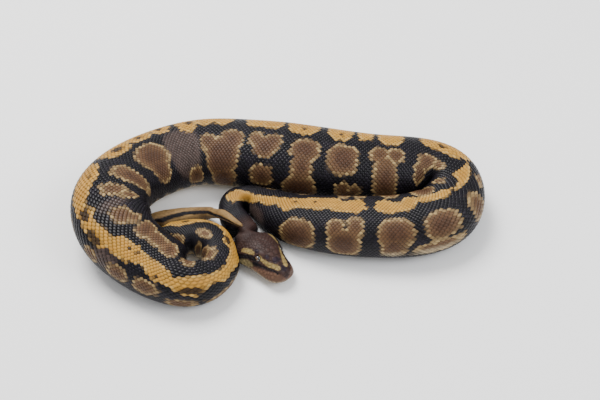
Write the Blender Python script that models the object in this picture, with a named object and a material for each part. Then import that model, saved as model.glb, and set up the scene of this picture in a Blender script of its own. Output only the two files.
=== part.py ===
# Coiled ball python at life size, lying on the floor.
# Lengths are in millimetres until a mesh is made; angles are in degrees.
# The spine runs from the snout (0) to the tail tip, and everything is placed by its distance along it.
# +X runs along the longest side of the coil, +Y away from the head, +Z up.
import math

import bmesh
import bpy
import numpy as np

# Plan of the spine, from the snout to the tail tip: x, y, lift off the floor, body width.
# The first rows lie on one line, the straight axis of the head.
SPINE = [
    (-7.1, -61.3, 1.3, 13.4), (-16.1, -50.0, 0.7, 19.4), (-22.4, -42.0, 0.2, 24.8),
    (-28.0, -34.9, 0.0, 18.0), (-30.8, -26.8, 0.0, 19.8), (-34.8, -17.6, 0.0, 20.6),
    (-34.0, -10.0, 0.0, 19.8), (-28.8, -7.8, 0.0, 21.2), (-21.6, -11.6, 0.0, 23.8),
    (-9.2, -20.6, 0.0, 28.0), (6.5, -26.4, 0.0, 31.8), (24.2, -29.8, 0.0, 34.2),
    (43.0, -31.0, 0.0, 35.4), (61.8, -29.6, 0.0, 36.6), (77.0, -22.4, 0.0, 37.2),
    (82.6, -9.4, 0.0, 37.2), (78.8, 4.2, 0.0, 37.6), (64.4, 10.2, 0.0, 38.4),
    (41.6, 11.2, 0.0, 40.0), (16.6, 13.6, 0.0, 42.0), (-8.4, 17.4, 0.0, 43.0),
    (-33.6, 22.2, 0.0, 41.6), (-56.4, 23.6, 0.0, 40.2), (-77.0, 15.6, 1.0, 40.4),
    (-94.0, -0.2, 4.4, 41.2), (-102.0, -21.2, 7.4, 42.0), (-96.2, -40.2, 5.6, 41.8),
    (-82.8, -53.0, 1.6, 39.2), (-68.4, -62.0, 0.0, 35.0), (-55.2, -65.0, 0.0, 30.4),
    (-45.8, -57.2, 0.0, 26.6), (-44.8, -44.6, 0.0, 24.2), (-52.8, -36.2, 0.0, 22.2),
    (-64.0, -33.6, 0.0, 19.0), (-73.6, -31.8, 0.0, 15.6), (-79.8, -28.6, 0.0, 13.2),
    (-81.4, -23.0, 0.0, 11.4), (-77.6, -18.6, 0.0, 10.2), (-69.6, -15.8, 0.0, 9.4),
    (-59.6, -13.8, 0.3, 8.4), (-50.8, -15.4, 3.8, 7.2), (-45.0, -20.2, 9.6, 6.2),
    (-40.2, -25.4, 13.8, 5.2), (-35.6, -29.8, 15.3, 3.8), (-30.8, -33.6, 15.9, 2.2),
]
# Height of the body as a share of its width, by distance from the snout.
FLATNESS = [(33, 0.82), (41, 0.705), (51, 0.71), (60, 0.80), (110, 0.77), (200, 0.77), (300, 0.77), (370, 0.72), (430, 0.69),
            (470, 0.74), (510, 0.82), (560, 0.88), (626, 0.90)]
SECTION_POWER = 2.3        # 2 is an ellipse, more is squarer
BELLY_SINK = 0.6           # how deep the round belly is pressed flat
LEAST_LIFT = 0.05          # anything lower than this lies on the floor
BEND_SHARE = 0.95          # widest half-width on the inside of a bend, as a share of its radius
CONTACT_GAP = 0.5          # space left where two lengths of the body lie side by side
CONTACT_EASE = 3.0         # length over which a flank eases into such a contact

HEAD_LENGTH = 33.0
# Head by distance from the snout: half-width, top, underside and the height of the lips.
HEAD_STATIONS = [0.0, 0.5, 1.5, 3.0, 6.0, 10.0, 15.0, 20.0, 24.5, 28.0, 30.5, 33.0]
HEAD_HALF_WIDTH = [0.0, 3.9, 5.8, 7.3, 8.6, 9.3, 10.2, 12.0, 12.9, 12.1, 10.5, 8.5]
HEAD_TOP = [5.2, 7.4, 9.0, 10.1, 11.4, 12.7, 14.3, 15.3, 15.5, 14.9, 14.1, 13.2]
HEAD_UNDERSIDE = [4.6, 2.8, 1.7, 1.0, 0.4, 0.1, 0.0, 0.0, 0.0, 0.0, 0.0, 0.0]
HEAD_LIP = [4.9, 4.9, 4.8, 4.7, 4.7, 4.8, 5.0, 5.3, 5.6, 5.8, 6.0, 6.2]
HEAD_POWER = 2.5
CROWN_TAPER = 0.28         # how much narrower the crown is than the lips
JAW_TAPER = 0.06           # how much narrower the underside is than the lips
HEAD_ROLL = 9.0            # the head leans over towards its own left, in degrees
ROLL_HEIGHT = 5.0          # height of the line that it leans about
ROLL_FADE = (18.0, 33.0)   # distances over which the lean fades out into the neck

EYE_RADIUS = 1.75
EYE_BACK = 16.4            # distance of the eyes from the snout
EYE_HEIGHT = 10.2          # height of the eyes before the head leans
EYE_PROUD = 0.55           # how far an eye stands out of the side of the head
SOCKET_GAP = 0.3

# Lengths that the body is parted into, by distance from the snout.
BODY_CUTS = [33, 57, 100, 150, 180, 208, 256, 306, 346, 376, 404, 434, 468, 492, 516, 542, 561, 588]
BODY_NAMES = ["neck"] + ["trunk_%02d" % number for number in range(1, 16)] + ["tail_1", "tail_2"]
CUT_WIDTH = 0.3

AROUND = 24                # corners of a body section
HEAD_AROUND = 32
RING_STEP = 6.5            # longest distance between body sections
RING_TURN = 13.0           # largest turn between body sections
HEAD_RINGS = 22

MM = 0.001


def natural_spline(knots, values, at):
    """Cubic curve with continuous bend through the values at the knots."""
    knots, values, at = (np.asarray(item, float) for item in (knots, values, at))
    step = np.diff(knots)[:, None]
    slope = np.diff(values, axis=0) / step
    size = len(knots)
    system = np.eye(size)
    target = np.zeros_like(values)
    for row in range(1, size - 1):
        before, after = step[row - 1, 0], step[row, 0]
        system[row, row - 1:row + 2] = before, 2 * (before + after), after
        target[row] = 6 * (slope[row] - slope[row - 1])
    bend = np.linalg.solve(system, target)
    span = np.clip(np.searchsorted(knots, at) - 1, 0, size - 2)
    left, right = (at - knots[span])[:, None], (knots[span + 1] - at)[:, None]
    width = step[span]
    return ((bend[span] * right ** 3 + bend[span + 1] * left ** 3) / (6 * width)
            + (values[span] / width - bend[span] * width / 6) * right
            + (values[span + 1] / width - bend[span + 1] * width / 6) * left)


class Spine:
    """The spine as dense samples, read by distance from the snout."""

    def __init__(self, rows, samples=6000):
        rows = np.asarray(rows, float)
        chords = np.sqrt(np.linalg.norm(np.diff(rows[:, :2], axis=0), axis=1))
        knots = np.concatenate(([0.0], np.cumsum(chords)))
        table = natural_spline(knots, rows, np.linspace(0, knots[-1], samples))
        plan = np.concatenate(([0.0], np.cumsum(np.linalg.norm(np.diff(table[:, :2], axis=0), axis=1))))
        self.lift, self.width = np.where(table[:, 2] > LEAST_LIFT, table[:, 2], 0), table[:, 3]
        middle = self.lift + self.width * self.flatness(plan) / 2 - BELLY_SINK
        self.points = np.column_stack((table[:, :2], middle))
        self.distance = np.concatenate(
            ([0.0], np.cumsum(np.linalg.norm(np.diff(self.points, axis=0), axis=1))))
        heading = np.unwrap(np.arctan2(*np.gradient(table[:, :2], axis=0).T[::-1]))
        self.length = self.distance[-1]
        self.heading = heading
        self.reach = {hand: self.pressed_width(hand, heading, np.gradient(heading, plan)) for hand in (1, -1)}

    @staticmethod
    def flatness(distance):
        return np.interp(distance, *zip(*FLATNESS))

    def pressed_width(self, hand, heading, turn, every=8):
        """Half-width on one side: full, or less where the body bends or lies against another length."""
        plan, height, along = self.points[::every, :2], self.points[::every, 2], self.distance[::every]
        half = self.width[::every] / 2
        side = hand * np.column_stack((np.sin(heading), -np.cos(heading)))[::every]
        apart = plan[None] - plan[:, None]
        across = np.einsum("ijk,ik->ij", apart, side)
        sums = half[:, None] + half[None]
        parting = np.abs(along[:, None] - along[None]) / sums
        near = (parting > 0.2) & (across > 0) & (np.abs(height[:, None] - height[None]) < 0.45 * sums)
        # Two round outlines share the space between them along the line of equal tangents.
        border = ((apart ** 2).sum(axis=2) + half[:, None] ** 2 - half[None] ** 2) / (2 * np.maximum(across, 1e-6))
        border *= np.interp(parting, (0.8, 1.8), (BEND_SHARE, 1.0))
        room = np.where(near, border - CONTACT_GAP / 2, np.inf).min(axis=1)
        radius = 1 / np.maximum(-hand * turn[::every], 1e-6)
        reach = np.maximum(np.minimum(half, np.minimum(room, BEND_SHARE * radius)), 0.4 * half)
        pad = round(CONTACT_EASE / 2 * len(along) / self.length)
        least = np.lib.stride_tricks.sliding_window_view(np.pad(reach, 2 * pad, mode="edge"), 2 * pad + 1)
        window = np.hanning(2 * pad + 3)[1:-1]
        eased = np.convolve(least.min(axis=1), window / window.sum(), mode="valid")
        return np.interp(self.distance, along, eased)

    def read(self, column, distance):
        return np.interp(distance, self.distance, column)

    def frame(self, distance):
        """Middle of the section, the direction across it and the direction up its back."""
        middle = np.array([self.read(self.points[:, axis], distance) for axis in range(3)])
        heading = self.read(self.heading, distance)
        climb = (self.read(self.lift, distance + 1) - self.read(self.lift, distance - 1)) / 2
        along = np.array((math.cos(heading), math.sin(heading), climb)) / math.hypot(1, climb)
        side = np.array((math.sin(heading), -math.cos(heading), 0))
        return middle, side, np.cross(side, along)


def superellipse(angles, power):
    """Unit rounded square: x to the side and z up, starting at the top."""
    sine, cosine = np.sin(angles), np.cos(angles)
    reach = (np.abs(sine) ** power + np.abs(cosine) ** power) ** (-1 / power)
    return reach * sine, reach * cosine


def body_ring(spine, distance):
    """Corners of one body section, pressed flat on the inside of a bend and under the belly."""
    middle, side, up = spine.frame(distance)
    width = spine.read(spine.width, distance)
    half_height = width * spine.flatness(distance) / 2
    near, far = (spine.read(spine.reach[hand], distance) for hand in (1, -1))
    x, z = superellipse(np.linspace(0, 2 * math.pi, AROUND, endpoint=False), SECTION_POWER)
    half_width = np.where(x > 0, near, far)
    corners = middle + np.outer(x * half_width, side) + np.outer(z * half_height, up)
    corners[:, 2] = np.maximum(corners[:, 2], spine.read(spine.lift, distance))
    return corners


def head_outline(distance):
    """One upright head section: a flat crown over wide lips and a shallow jaw."""
    def profile(values):
        return np.interp(distance, HEAD_STATIONS, values)

    lip, top, underside = profile(HEAD_LIP), profile(HEAD_TOP), profile(HEAD_UNDERSIDE)
    x, z = superellipse(np.linspace(0, 2 * math.pi, HEAD_AROUND, endpoint=False), HEAD_POWER)
    x = x * (1 - CROWN_TAPER * np.maximum(z, 0) - JAW_TAPER * np.maximum(-z, 0))
    return x * profile(HEAD_HALF_WIDTH), np.where(z > 0, z * (top - lip), z * (lip - underside)) + lip


def place_on_head(spine, distance, across, height):
    """Points of a head section where they end up: leaned over, and none below the floor."""
    fade = np.clip((distance - ROLL_FADE[0]) / (ROLL_FADE[1] - ROLL_FADE[0]), 0, 1)
    roll = math.radians(HEAD_ROLL) * (1 - fade * fade * (3 - 2 * fade))
    middle, side, _ = spine.frame(distance)
    rise = height - ROLL_HEIGHT
    corners = middle + np.outer(across * math.cos(roll) + rise * math.sin(roll), side)
    leaned = ROLL_HEIGHT + rise * math.cos(roll) - across * math.sin(roll)
    corners[:, 2] = np.maximum(leaned + spine.read(spine.lift, distance), 0)
    return corners


def head_ring(spine, distance):
    """Corners of one head section."""
    return place_on_head(spine, distance, *head_outline(distance))


def make_material(name, colour, roughness):
    material = bpy.data.materials.new(name)
    material.use_nodes = True
    shader = material.node_tree.nodes["Principled BSDF"]
    shader.inputs["Base Color"].default_value = (*colour, 1)
    shader.inputs["Roughness"].default_value = roughness
    shader.inputs["Metallic"].default_value = 0.0
    return material


def make_object(name, mesh, material):
    obj = bpy.data.objects.new(name, mesh)
    bpy.context.collection.objects.link(obj)
    mesh.materials.append(material)
    return obj


def loft(name, rings, material):
    """Closed body through the rings, with a flat face at each end."""
    model = bmesh.new()
    loops = [[model.verts.new(corner * MM) for corner in ring] for ring in rings]
    for lower, upper in zip(loops, loops[1:]):
        for corner in range(len(lower)):
            after = (corner + 1) % len(lower)
            model.faces.new((lower[corner], lower[after], upper[after], upper[corner]))
    model.faces.new(loops[0])
    model.faces.new(loops[-1])
    bmesh.ops.recalc_face_normals(model, faces=model.faces)
    mesh = bpy.data.meshes.new(name)
    model.to_mesh(mesh)
    model.free()
    mesh.shade_smooth()
    mesh.set_sharp_from_angle(angle=math.radians(50))
    return make_object(name, mesh, material)


def make_ball(name, centre, radius, material):
    model = bmesh.new()
    bmesh.ops.create_uvsphere(model, u_segments=14, v_segments=8, radius=radius * MM)
    bmesh.ops.translate(model, verts=model.verts, vec=centre * MM)
    mesh = bpy.data.meshes.new(name)
    model.to_mesh(mesh)
    model.free()
    mesh.shade_smooth()
    return make_object(name, mesh, material)


def eye_centre(spine, hand):
    """Centre of an eye: hand is +1 for the side that the section's side direction points to."""
    across, height = head_outline(EYE_BACK)
    flank = across > 0
    upward = np.argsort(height[flank])
    reach = np.interp(EYE_HEIGHT, height[flank][upward], across[flank][upward])
    out = hand * (reach + EYE_PROUD - EYE_RADIUS)
    return place_on_head(spine, EYE_BACK, np.array([out]), np.array([EYE_HEIGHT]))[0]


def make_head(spine, skin, eye_material):
    """Head with two sockets, each round an eyeball of its own."""
    share = np.linspace(0, 1, HEAD_RINGS) ** 1.5
    distances = 0.12 + share * (HEAD_LENGTH - CUT_WIDTH / 2 - 0.12)
    head = loft("head", [head_ring(spine, distance) for distance in distances], skin)
    for name, hand in (("eye_left", 1), ("eye_right", -1)):
        centre = eye_centre(spine, hand)
        socket = make_ball("socket_" + name, centre, EYE_RADIUS + SOCKET_GAP, skin)
        socket.hide_render = True
        socket.display_type = "WIRE"
        cut = head.modifiers.new("Socket", "BOOLEAN")
        cut.operation = "DIFFERENCE"
        cut.solver = "EXACT"
        cut.object = socket
        make_ball(name, centre, EYE_RADIUS, eye_material)


def make_body(spine, skin):
    """Neck, trunk and tail in lengths that stop just short of each other."""
    ends = BODY_CUTS[1:] + [spine.length + CUT_WIDTH / 2]
    for name, start, end in zip(BODY_NAMES, BODY_CUTS, ends):
        first, last = start + CUT_WIDTH / 2, end - CUT_WIDTH / 2
        turn = abs(np.diff(np.degrees(spine.read(spine.heading, np.linspace(first, last, 40))))).sum()
        count = 1 + math.ceil(max((last - first) / RING_STEP, turn / RING_TURN, 3))
        loft(name, [body_ring(spine, distance) for distance in np.linspace(first, last, count)], skin)


def main():
    for obj in list(bpy.data.objects):
        bpy.data.objects.remove(obj)
    skin = make_material("Python skin", (0.22, 0.15, 0.10), 0.45)
    eye = make_material("Python eye", (0.02, 0.015, 0.012), 0.08)
    # The route is moved once, so that the finished coil is centred over the origin.
    spine = Spine(SPINE)
    rings = [body_ring(spine, distance) for distance in np.linspace(HEAD_LENGTH, spine.length, 240)]
    rings += [head_ring(spine, distance) for distance in np.linspace(0.2, HEAD_LENGTH, 40)]
    corners = np.concatenate(rings)
    centre = (corners.min(axis=0) + corners.max(axis=0))[:2] / 2
    spine.points[:, :2] -= centre
    make_head(spine, skin, eye)
    make_body(spine, skin)


main()
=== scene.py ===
import math

import bmesh
import bpy
import numpy as np
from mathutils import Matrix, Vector
from mathutils.bvhtree import BVHTree
from mathutils.kdtree import KDTree


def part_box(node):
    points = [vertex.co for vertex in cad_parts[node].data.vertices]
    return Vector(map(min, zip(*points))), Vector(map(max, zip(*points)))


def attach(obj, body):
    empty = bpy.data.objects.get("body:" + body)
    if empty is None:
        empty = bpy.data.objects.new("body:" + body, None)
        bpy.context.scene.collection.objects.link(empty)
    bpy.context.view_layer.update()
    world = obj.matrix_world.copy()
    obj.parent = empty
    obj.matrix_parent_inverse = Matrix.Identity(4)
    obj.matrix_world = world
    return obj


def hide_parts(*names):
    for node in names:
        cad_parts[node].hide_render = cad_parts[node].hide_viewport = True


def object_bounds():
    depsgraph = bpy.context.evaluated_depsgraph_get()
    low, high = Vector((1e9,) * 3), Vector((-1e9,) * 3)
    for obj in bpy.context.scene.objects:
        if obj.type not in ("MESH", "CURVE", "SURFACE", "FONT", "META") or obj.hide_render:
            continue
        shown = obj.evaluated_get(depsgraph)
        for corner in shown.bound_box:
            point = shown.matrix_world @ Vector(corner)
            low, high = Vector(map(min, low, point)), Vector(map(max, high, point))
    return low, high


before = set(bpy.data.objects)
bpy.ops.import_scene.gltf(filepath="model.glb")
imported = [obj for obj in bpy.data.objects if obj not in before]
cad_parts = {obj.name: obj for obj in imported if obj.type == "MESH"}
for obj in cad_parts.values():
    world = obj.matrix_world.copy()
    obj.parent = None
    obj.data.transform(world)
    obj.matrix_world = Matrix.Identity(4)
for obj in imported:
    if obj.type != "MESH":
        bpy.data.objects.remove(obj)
cadLow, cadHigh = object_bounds()

# A still ball python at life size, lying coiled. Lengths are in millimetres until a mesh is made.
# A place on the snake is its distance from the snout along the spine, and its share of the way
# round the body: 0 on top, 1 and -1 at mid-belly, positive on the snake's left.
mm = 0.001

coil = {
    # plan of the spine from snout to tail tip: x, y, lift off the floor, body width
    "plan": [
        (-7.1, -61.3, 1.3, 13.4), (-16.1, -50.0, 0.7, 19.4), (-22.4, -42.0, 0.2, 24.8),
        (-28.0, -34.9, 0.0, 18.0), (-30.8, -26.8, 0.0, 19.8), (-34.8, -17.6, 0.0, 20.6),
        (-34.0, -10.0, 0.0, 19.8), (-28.8, -7.8, 0.0, 21.2), (-21.6, -11.6, 0.0, 23.8),
        (-9.2, -20.6, 0.0, 28.0), (6.5, -26.4, 0.0, 31.8), (24.2, -29.8, 0.0, 34.2),
        (43.0, -31.0, 0.0, 35.4), (61.8, -29.6, 0.0, 36.6), (77.0, -22.4, 0.0, 37.2),
        (82.6, -9.4, 0.0, 37.2), (78.8, 4.2, 0.0, 37.6), (64.4, 10.2, 0.0, 38.4),
        (41.6, 11.2, 0.0, 40.0), (16.6, 13.6, 0.0, 42.0), (-8.4, 17.4, 0.0, 43.0),
        (-33.6, 22.2, 0.0, 41.6), (-56.4, 23.6, 0.0, 40.2), (-77.0, 15.6, 1.0, 40.4),
        (-94.0, -0.2, 4.4, 41.2), (-102.0, -21.2, 7.4, 42.0), (-96.2, -40.2, 5.6, 41.8),
        (-82.8, -53.0, 1.6, 39.2), (-68.4, -62.0, 0.0, 35.0), (-55.2, -65.0, 0.0, 30.4),
        (-45.8, -57.2, 0.0, 26.6), (-44.8, -44.6, 0.0, 24.2), (-52.8, -36.2, 0.0, 22.2),
        (-64.0, -33.6, 0.0, 19.0), (-73.6, -31.8, 0.0, 15.6), (-79.8, -28.6, 0.0, 13.2),
        (-81.4, -23.0, 0.0, 11.4), (-77.6, -18.6, 0.0, 10.2), (-69.6, -15.8, 0.0, 9.4),
        (-59.6, -13.8, 0.3, 8.4), (-50.8, -15.4, 3.8, 7.2), (-45.0, -20.2, 9.6, 6.2),
        (-40.2, -25.4, 13.8, 5.2), (-35.6, -29.8, 15.3, 3.8), (-30.8, -33.6, 15.9, 2.2),
    ],
    # height of the body as a share of its width, by distance
    "flatness": [(33, 0.82), (41, 0.705), (51, 0.71), (60, 0.80), (110, 0.77), (200, 0.77), (300, 0.77),
                 (370, 0.72), (430, 0.69), (470, 0.74), (510, 0.82), (560, 0.88), (626, 0.90)],
    "squareness": 2.3,      # 2 is an ellipse, more is squarer
    "bellySink": 0.6,       # how far the belly is pressed flat on the floor
    "leastLift": 0.05,      # lower lifts count as none
    "bendShare": 0.95,      # how much of the bend's radius the inner flank may fill
    "contactGap": 0.5,      # gap between lengths that lie side by side
    "contactEase": 3.0,     # length over which a pressed flank swells back
    # shares of two lengths' summed widths: from how far along the body they count as two, up to what
    # difference in height they touch, and how far along a bend turns into a contact
    "contactFrom": 0.2, "contactHeight": 0.45, "contactBlend": (0.8, 1.8),
    "leastReach": 0.4,      # a flank keeps at least this share of its half-width
    "tipRounding": 1.8, "tipLeast": 0.02,
}

headForm = {
    "length": 33.0,
    "stations": [0.0, 0.5, 1.5, 3.0, 6.0, 10.0, 15.0, 20.0, 24.5, 28.0, 30.5, 33.0],
    "halfWidth": [0.0, 3.9, 5.8, 7.3, 8.6, 9.3, 10.2, 12.0, 12.9, 12.1, 10.5, 8.5],
    "top": [5.2, 7.4, 9.0, 10.1, 11.4, 12.7, 14.3, 15.3, 15.5, 14.9, 14.1, 13.2],
    "underside": [4.6, 2.8, 1.7, 1.0, 0.4, 0.1, 0.0, 0.0, 0.0, 0.0, 0.0, 0.0],
    "lip": [4.9, 4.9, 4.8, 4.7, 4.7, 4.8, 5.0, 5.3, 5.6, 5.8, 6.0, 6.2],
    "squareness": 2.5,
    "crownTaper": 0.28,
    "jawTaper": 0.06,
    "lean": 9.0,                  # the head leans towards its own left, in degrees
    "leanHeight": 5.0,
    "leanFade": (18.0, 33.0),
    # on the upright head: height of the mouth line, and the nostril's distance back, out and height
    "mouth": [(0, 2.9), (4, 2.8), (10, 2.8), (16, 3.1), (22, 3.9), (26.5, 5.0)],
    "mouthCorner": 26.0, "mouthFade": 2.5,
    "nostril": (2.9, 4.1, 8.2),
    "nostrilHollow": (0.55, 0.55),         # radius and depth
    "heatPits": (1.6, 1.9, 4),             # distance back of the first, spacing, how many on each side
    "pitPlace": (0.3, 1.35),               # inwards from the lip, above the mouth line
    "pitHollow": (0.42, 0.38),
    # swellings of the sides: push outwards, distance back and spread, height and spread
    "swellings": [(0.30, 16.5, 4.2, 12.9, 0.9),      # brow
                  (-0.38, 10.0, 3.2, 8.8, 1.5),      # in front of the eye
                  (0.35, 24.0, 3.4, 8.0, 2.6)],      # jaw muscle
    "mouthCut": (-0.42, 0.0, 0.3),         # push, height above the mouth line and spread
    "lipSwelling": (0.22, 1.5, 0.9),
    "crownFurrow": (-0.25, 22.0, 5.0, 1.1, 9.0),     # push, distance back and spread, spread across, above which height
    "eyeRim": (0.22, 2.35, 0.45),          # push, distance from the eye's middle and spread
    "eyeSocket": (-0.3, 1.2, 2.0),         # push, fading between these distances from the eye's middle
    "swellingEnd": (29.0, 35.0),
    "eyeBack": 16.4,                       # distance back of the eyes
    "neckBlend": (30.5, 36.5),
}

skinForm = {
    "headStart": 0.1, "headRings": 150, "headSpacing": 1.25,      # closer together towards the snout
    "bodyRings": 400,
    "tipRings": (0.75, 0.5, 0.3, 0.14, 0.03),
    "around": 160,
    "depthAtTail": 0.15,        # how far the skin lies inside the full outline, plus this share of the width
    "depthPerWidth": 0.0045,
    "depthAtSnout": (1.5, 0.15),   # the depth closes over the first length, down to the second as a share
    "shade": 0.8,                  # how dark the skin is between the scales
}


def naturalSpline(knots, values, at):
    # cubic curve with continuous bend through the values at the knots
    knots, values, at = (np.asarray(item, float) for item in (knots, values, at))
    step = np.diff(knots)[:, None]
    slope = np.diff(values, axis=0) / step
    size = len(knots)
    system = np.eye(size)
    target = np.zeros_like(values)
    for row in range(1, size - 1):
        before, after = step[row - 1, 0], step[row, 0]
        system[row, row - 1:row + 2] = before, 2 * (before + after), after
        target[row] = 6 * (slope[row] - slope[row - 1])
    bend = np.linalg.solve(system, target)
    span = np.clip(np.searchsorted(knots, at) - 1, 0, size - 2)
    left, right = (at - knots[span])[:, None], (knots[span + 1] - at)[:, None]
    width = step[span]
    return ((bend[span] * right ** 3 + bend[span + 1] * left ** 3) / (6 * width)
            + (values[span] / width - bend[span] * width / 6) * right
            + (values[span + 1] / width - bend[span + 1] * width / 6) * left)


def smooth(value, low, high):
    share = np.clip((np.asarray(value, float) - low) / (high - low), 0, 1)
    return share * share * (3 - 2 * share)


class Spine:
    # the same route that the solids follow, read by distance from the snout
    def __init__(self, rows, samples=6000):
        rows = np.asarray(rows, float)
        chords = np.sqrt(np.linalg.norm(np.diff(rows[:, :2], axis=0), axis=1))
        knots = np.concatenate(([0.0], np.cumsum(chords)))
        table = naturalSpline(knots, rows, np.linspace(0, knots[-1], samples))
        plan = np.concatenate(([0.0], np.cumsum(np.linalg.norm(np.diff(table[:, :2], axis=0), axis=1))))
        self.lift, self.width = np.where(table[:, 2] > coil["leastLift"], table[:, 2], 0), table[:, 3]
        middle = self.lift + self.width * self.flatness(plan) / 2 - coil["bellySink"]
        self.points = np.column_stack((table[:, :2], middle))
        self.distance = np.concatenate(([0.0], np.cumsum(np.linalg.norm(np.diff(self.points, axis=0), axis=1))))
        self.length = self.distance[-1]
        self.heading = np.unwrap(np.arctan2(*np.gradient(table[:, :2], axis=0).T[::-1]))
        turn = np.gradient(self.heading, plan)
        self.reach = {hand: self.pressedWidth(hand, self.heading, turn) for hand in (1, -1)}

    @staticmethod
    def flatness(distance):
        return np.interp(distance, *zip(*coil["flatness"]))

    def pressedWidth(self, hand, heading, turn, every=8):
        # half-width on one side: full, or less where the body bends or lies against another length
        plan, height, along = self.points[::every, :2], self.points[::every, 2], self.distance[::every]
        half = self.width[::every] / 2
        side = hand * np.column_stack((np.sin(heading), -np.cos(heading)))[::every]
        apart = plan[None] - plan[:, None]
        across = np.einsum("ijk,ik->ij", apart, side)
        sums = half[:, None] + half[None]
        parting = np.abs(along[:, None] - along[None]) / sums
        level = np.abs(height[:, None] - height[None]) < coil["contactHeight"] * sums
        near = (parting > coil["contactFrom"]) & (across > 0) & level
        border = ((apart ** 2).sum(axis=2) + half[:, None] ** 2 - half[None] ** 2) / (2 * np.maximum(across, 1e-6))
        border *= np.interp(parting, coil["contactBlend"], (coil["bendShare"], 1.0))
        room = np.where(near, border - coil["contactGap"] / 2, np.inf).min(axis=1)
        radius = 1 / np.maximum(-hand * turn[::every], 1e-6)
        reach = np.minimum(half, np.minimum(room, coil["bendShare"] * radius))
        reach = np.maximum(reach, coil["leastReach"] * half)
        pad = round(coil["contactEase"] / 2 * len(along) / self.length)
        least = np.lib.stride_tricks.sliding_window_view(np.pad(reach, 2 * pad, mode="edge"), 2 * pad + 1)
        window = np.hanning(2 * pad + 3)[1:-1]
        eased = np.convolve(least.min(axis=1), window / window.sum(), mode="valid")
        return np.interp(self.distance, along, eased)

    def read(self, column, distance):
        return np.interp(distance, self.distance, column)

    def frames(self, distance):
        middle = np.column_stack([self.read(self.points[:, axis], distance) for axis in range(3)])
        heading = self.read(self.heading, distance)
        climb = (self.read(self.lift, distance + 1) - self.read(self.lift, distance - 1)) / 2
        along = np.column_stack((np.cos(heading), np.sin(heading), climb)) / np.hypot(1, climb)[:, None]
        side = np.column_stack((np.sin(heading), -np.cos(heading), np.zeros_like(heading)))
        return middle, side, np.cross(side, along)


def superellipse(angles, power):
    sine, cosine = np.sin(angles), np.cos(angles)
    reach = (np.abs(sine) ** power + np.abs(cosine) ** power) ** (-1 / power)
    return reach * sine, reach * cosine


sectionAngles = np.linspace(0, 2 * math.pi, 257)


def bodySections(spine, distance, depth):
    middle, side, up = spine.frames(distance)
    beyond = np.clip(distance - spine.length + coil["tipRounding"], 0, None) / coil["tipRounding"]
    tip = np.sqrt(np.clip(1 - beyond ** 2, coil["tipLeast"], 1))
    halfHeight = (spine.read(spine.width, distance) * spine.flatness(distance) / 2 - depth) * tip
    left, right = ((spine.read(spine.reach[hand], distance) - depth) * tip for hand in (1, -1))
    x, z = superellipse(sectionAngles, coil["squareness"])
    across = np.where(x > 0, left[:, None], right[:, None]) * x
    corners = (middle[:, None] + across[..., None] * side[:, None]
               + (halfHeight[:, None] * z)[..., None] * up[:, None])
    floor = spine.read(spine.lift, distance) + depth
    corners[..., 2] = np.maximum(corners[..., 2], floor[:, None])
    return corners


def headSections(spine, distance, depth):
    # flat crown over wide lips and a shallow jaw
    middle, side, _ = spine.frames(distance)
    knots = np.sqrt(headForm["stations"])
    columns = np.column_stack([headForm[name] for name in ("halfWidth", "top", "underside", "lip")])
    table = naturalSpline(knots, columns, np.sqrt(np.clip(distance, 0, headForm["length"])))
    halfWidth, top, underside, lip = table.T
    closing, least = skinForm["depthAtSnout"]
    inset = depth * np.clip(distance / closing, least, 1)
    halfWidth, top, underside = halfWidth - inset, top - inset, underside + inset
    x, z = superellipse(sectionAngles, headForm["squareness"])
    x = x * (1 - headForm["crownTaper"] * np.maximum(z, 0) - headForm["jawTaper"] * np.maximum(-z, 0))
    height = np.where(z > 0, z * (top - lip)[:, None], z * (lip - underside)[:, None]) + lip[:, None]
    corners = leaned(spine, distance[:, None], halfWidth[:, None] * x, height)
    corners[..., 2] = np.maximum(corners[..., 2], depth[:, None])
    return corners


def leanAngle(distance):
    return math.radians(headForm["lean"]) * (1 - smooth(distance, *headForm["leanFade"]))


def leaned(spine, distance, out, high):
    # where a point of the upright head ends up once the head leans over
    distance, out, high = np.broadcast_arrays(np.asarray(distance, float), out, high)
    middle, side, _ = spine.frames(distance.ravel())
    angle, rise = leanAngle(distance), high - headForm["leanHeight"]
    across = (out * np.cos(angle) + rise * np.sin(angle)).ravel()
    spots = middle + across[:, None] * side
    spots[:, 2] = (headForm["leanHeight"] + rise * np.cos(angle) - out * np.sin(angle)).ravel()
    spots[:, 2] += spine.read(spine.lift, distance.ravel())
    return spots.reshape(distance.shape + (3,))


def evenly(sections, columns):
    # each section again, with its corners evenly spaced on each side from top to mid-belly
    half = columns // 2
    out = np.empty((len(sections), columns + 1, 3))
    girth = np.empty((len(sections), 2))
    middle = len(sectionAngles) // 2
    for row, corners in enumerate(sections):
        for hand, run in ((1, corners[:middle + 1]), (0, corners[:middle - 1:-1])):
            arc = np.concatenate(([0.0], np.cumsum(np.linalg.norm(np.diff(run, axis=0), axis=1))))
            girth[row, hand] = arc[-1]
            spots = np.linspace(0, arc[-1], half + 1)
            line = np.column_stack([np.interp(spots, arc, run[:, axis]) for axis in range(3)])
            if hand:
                out[row, half:] = line
            else:
                out[row, :half + 1] = line[::-1]
    return out, girth


def mouthHeight(distance):
    return np.interp(distance, *zip(*headForm["mouth"]))


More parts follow.
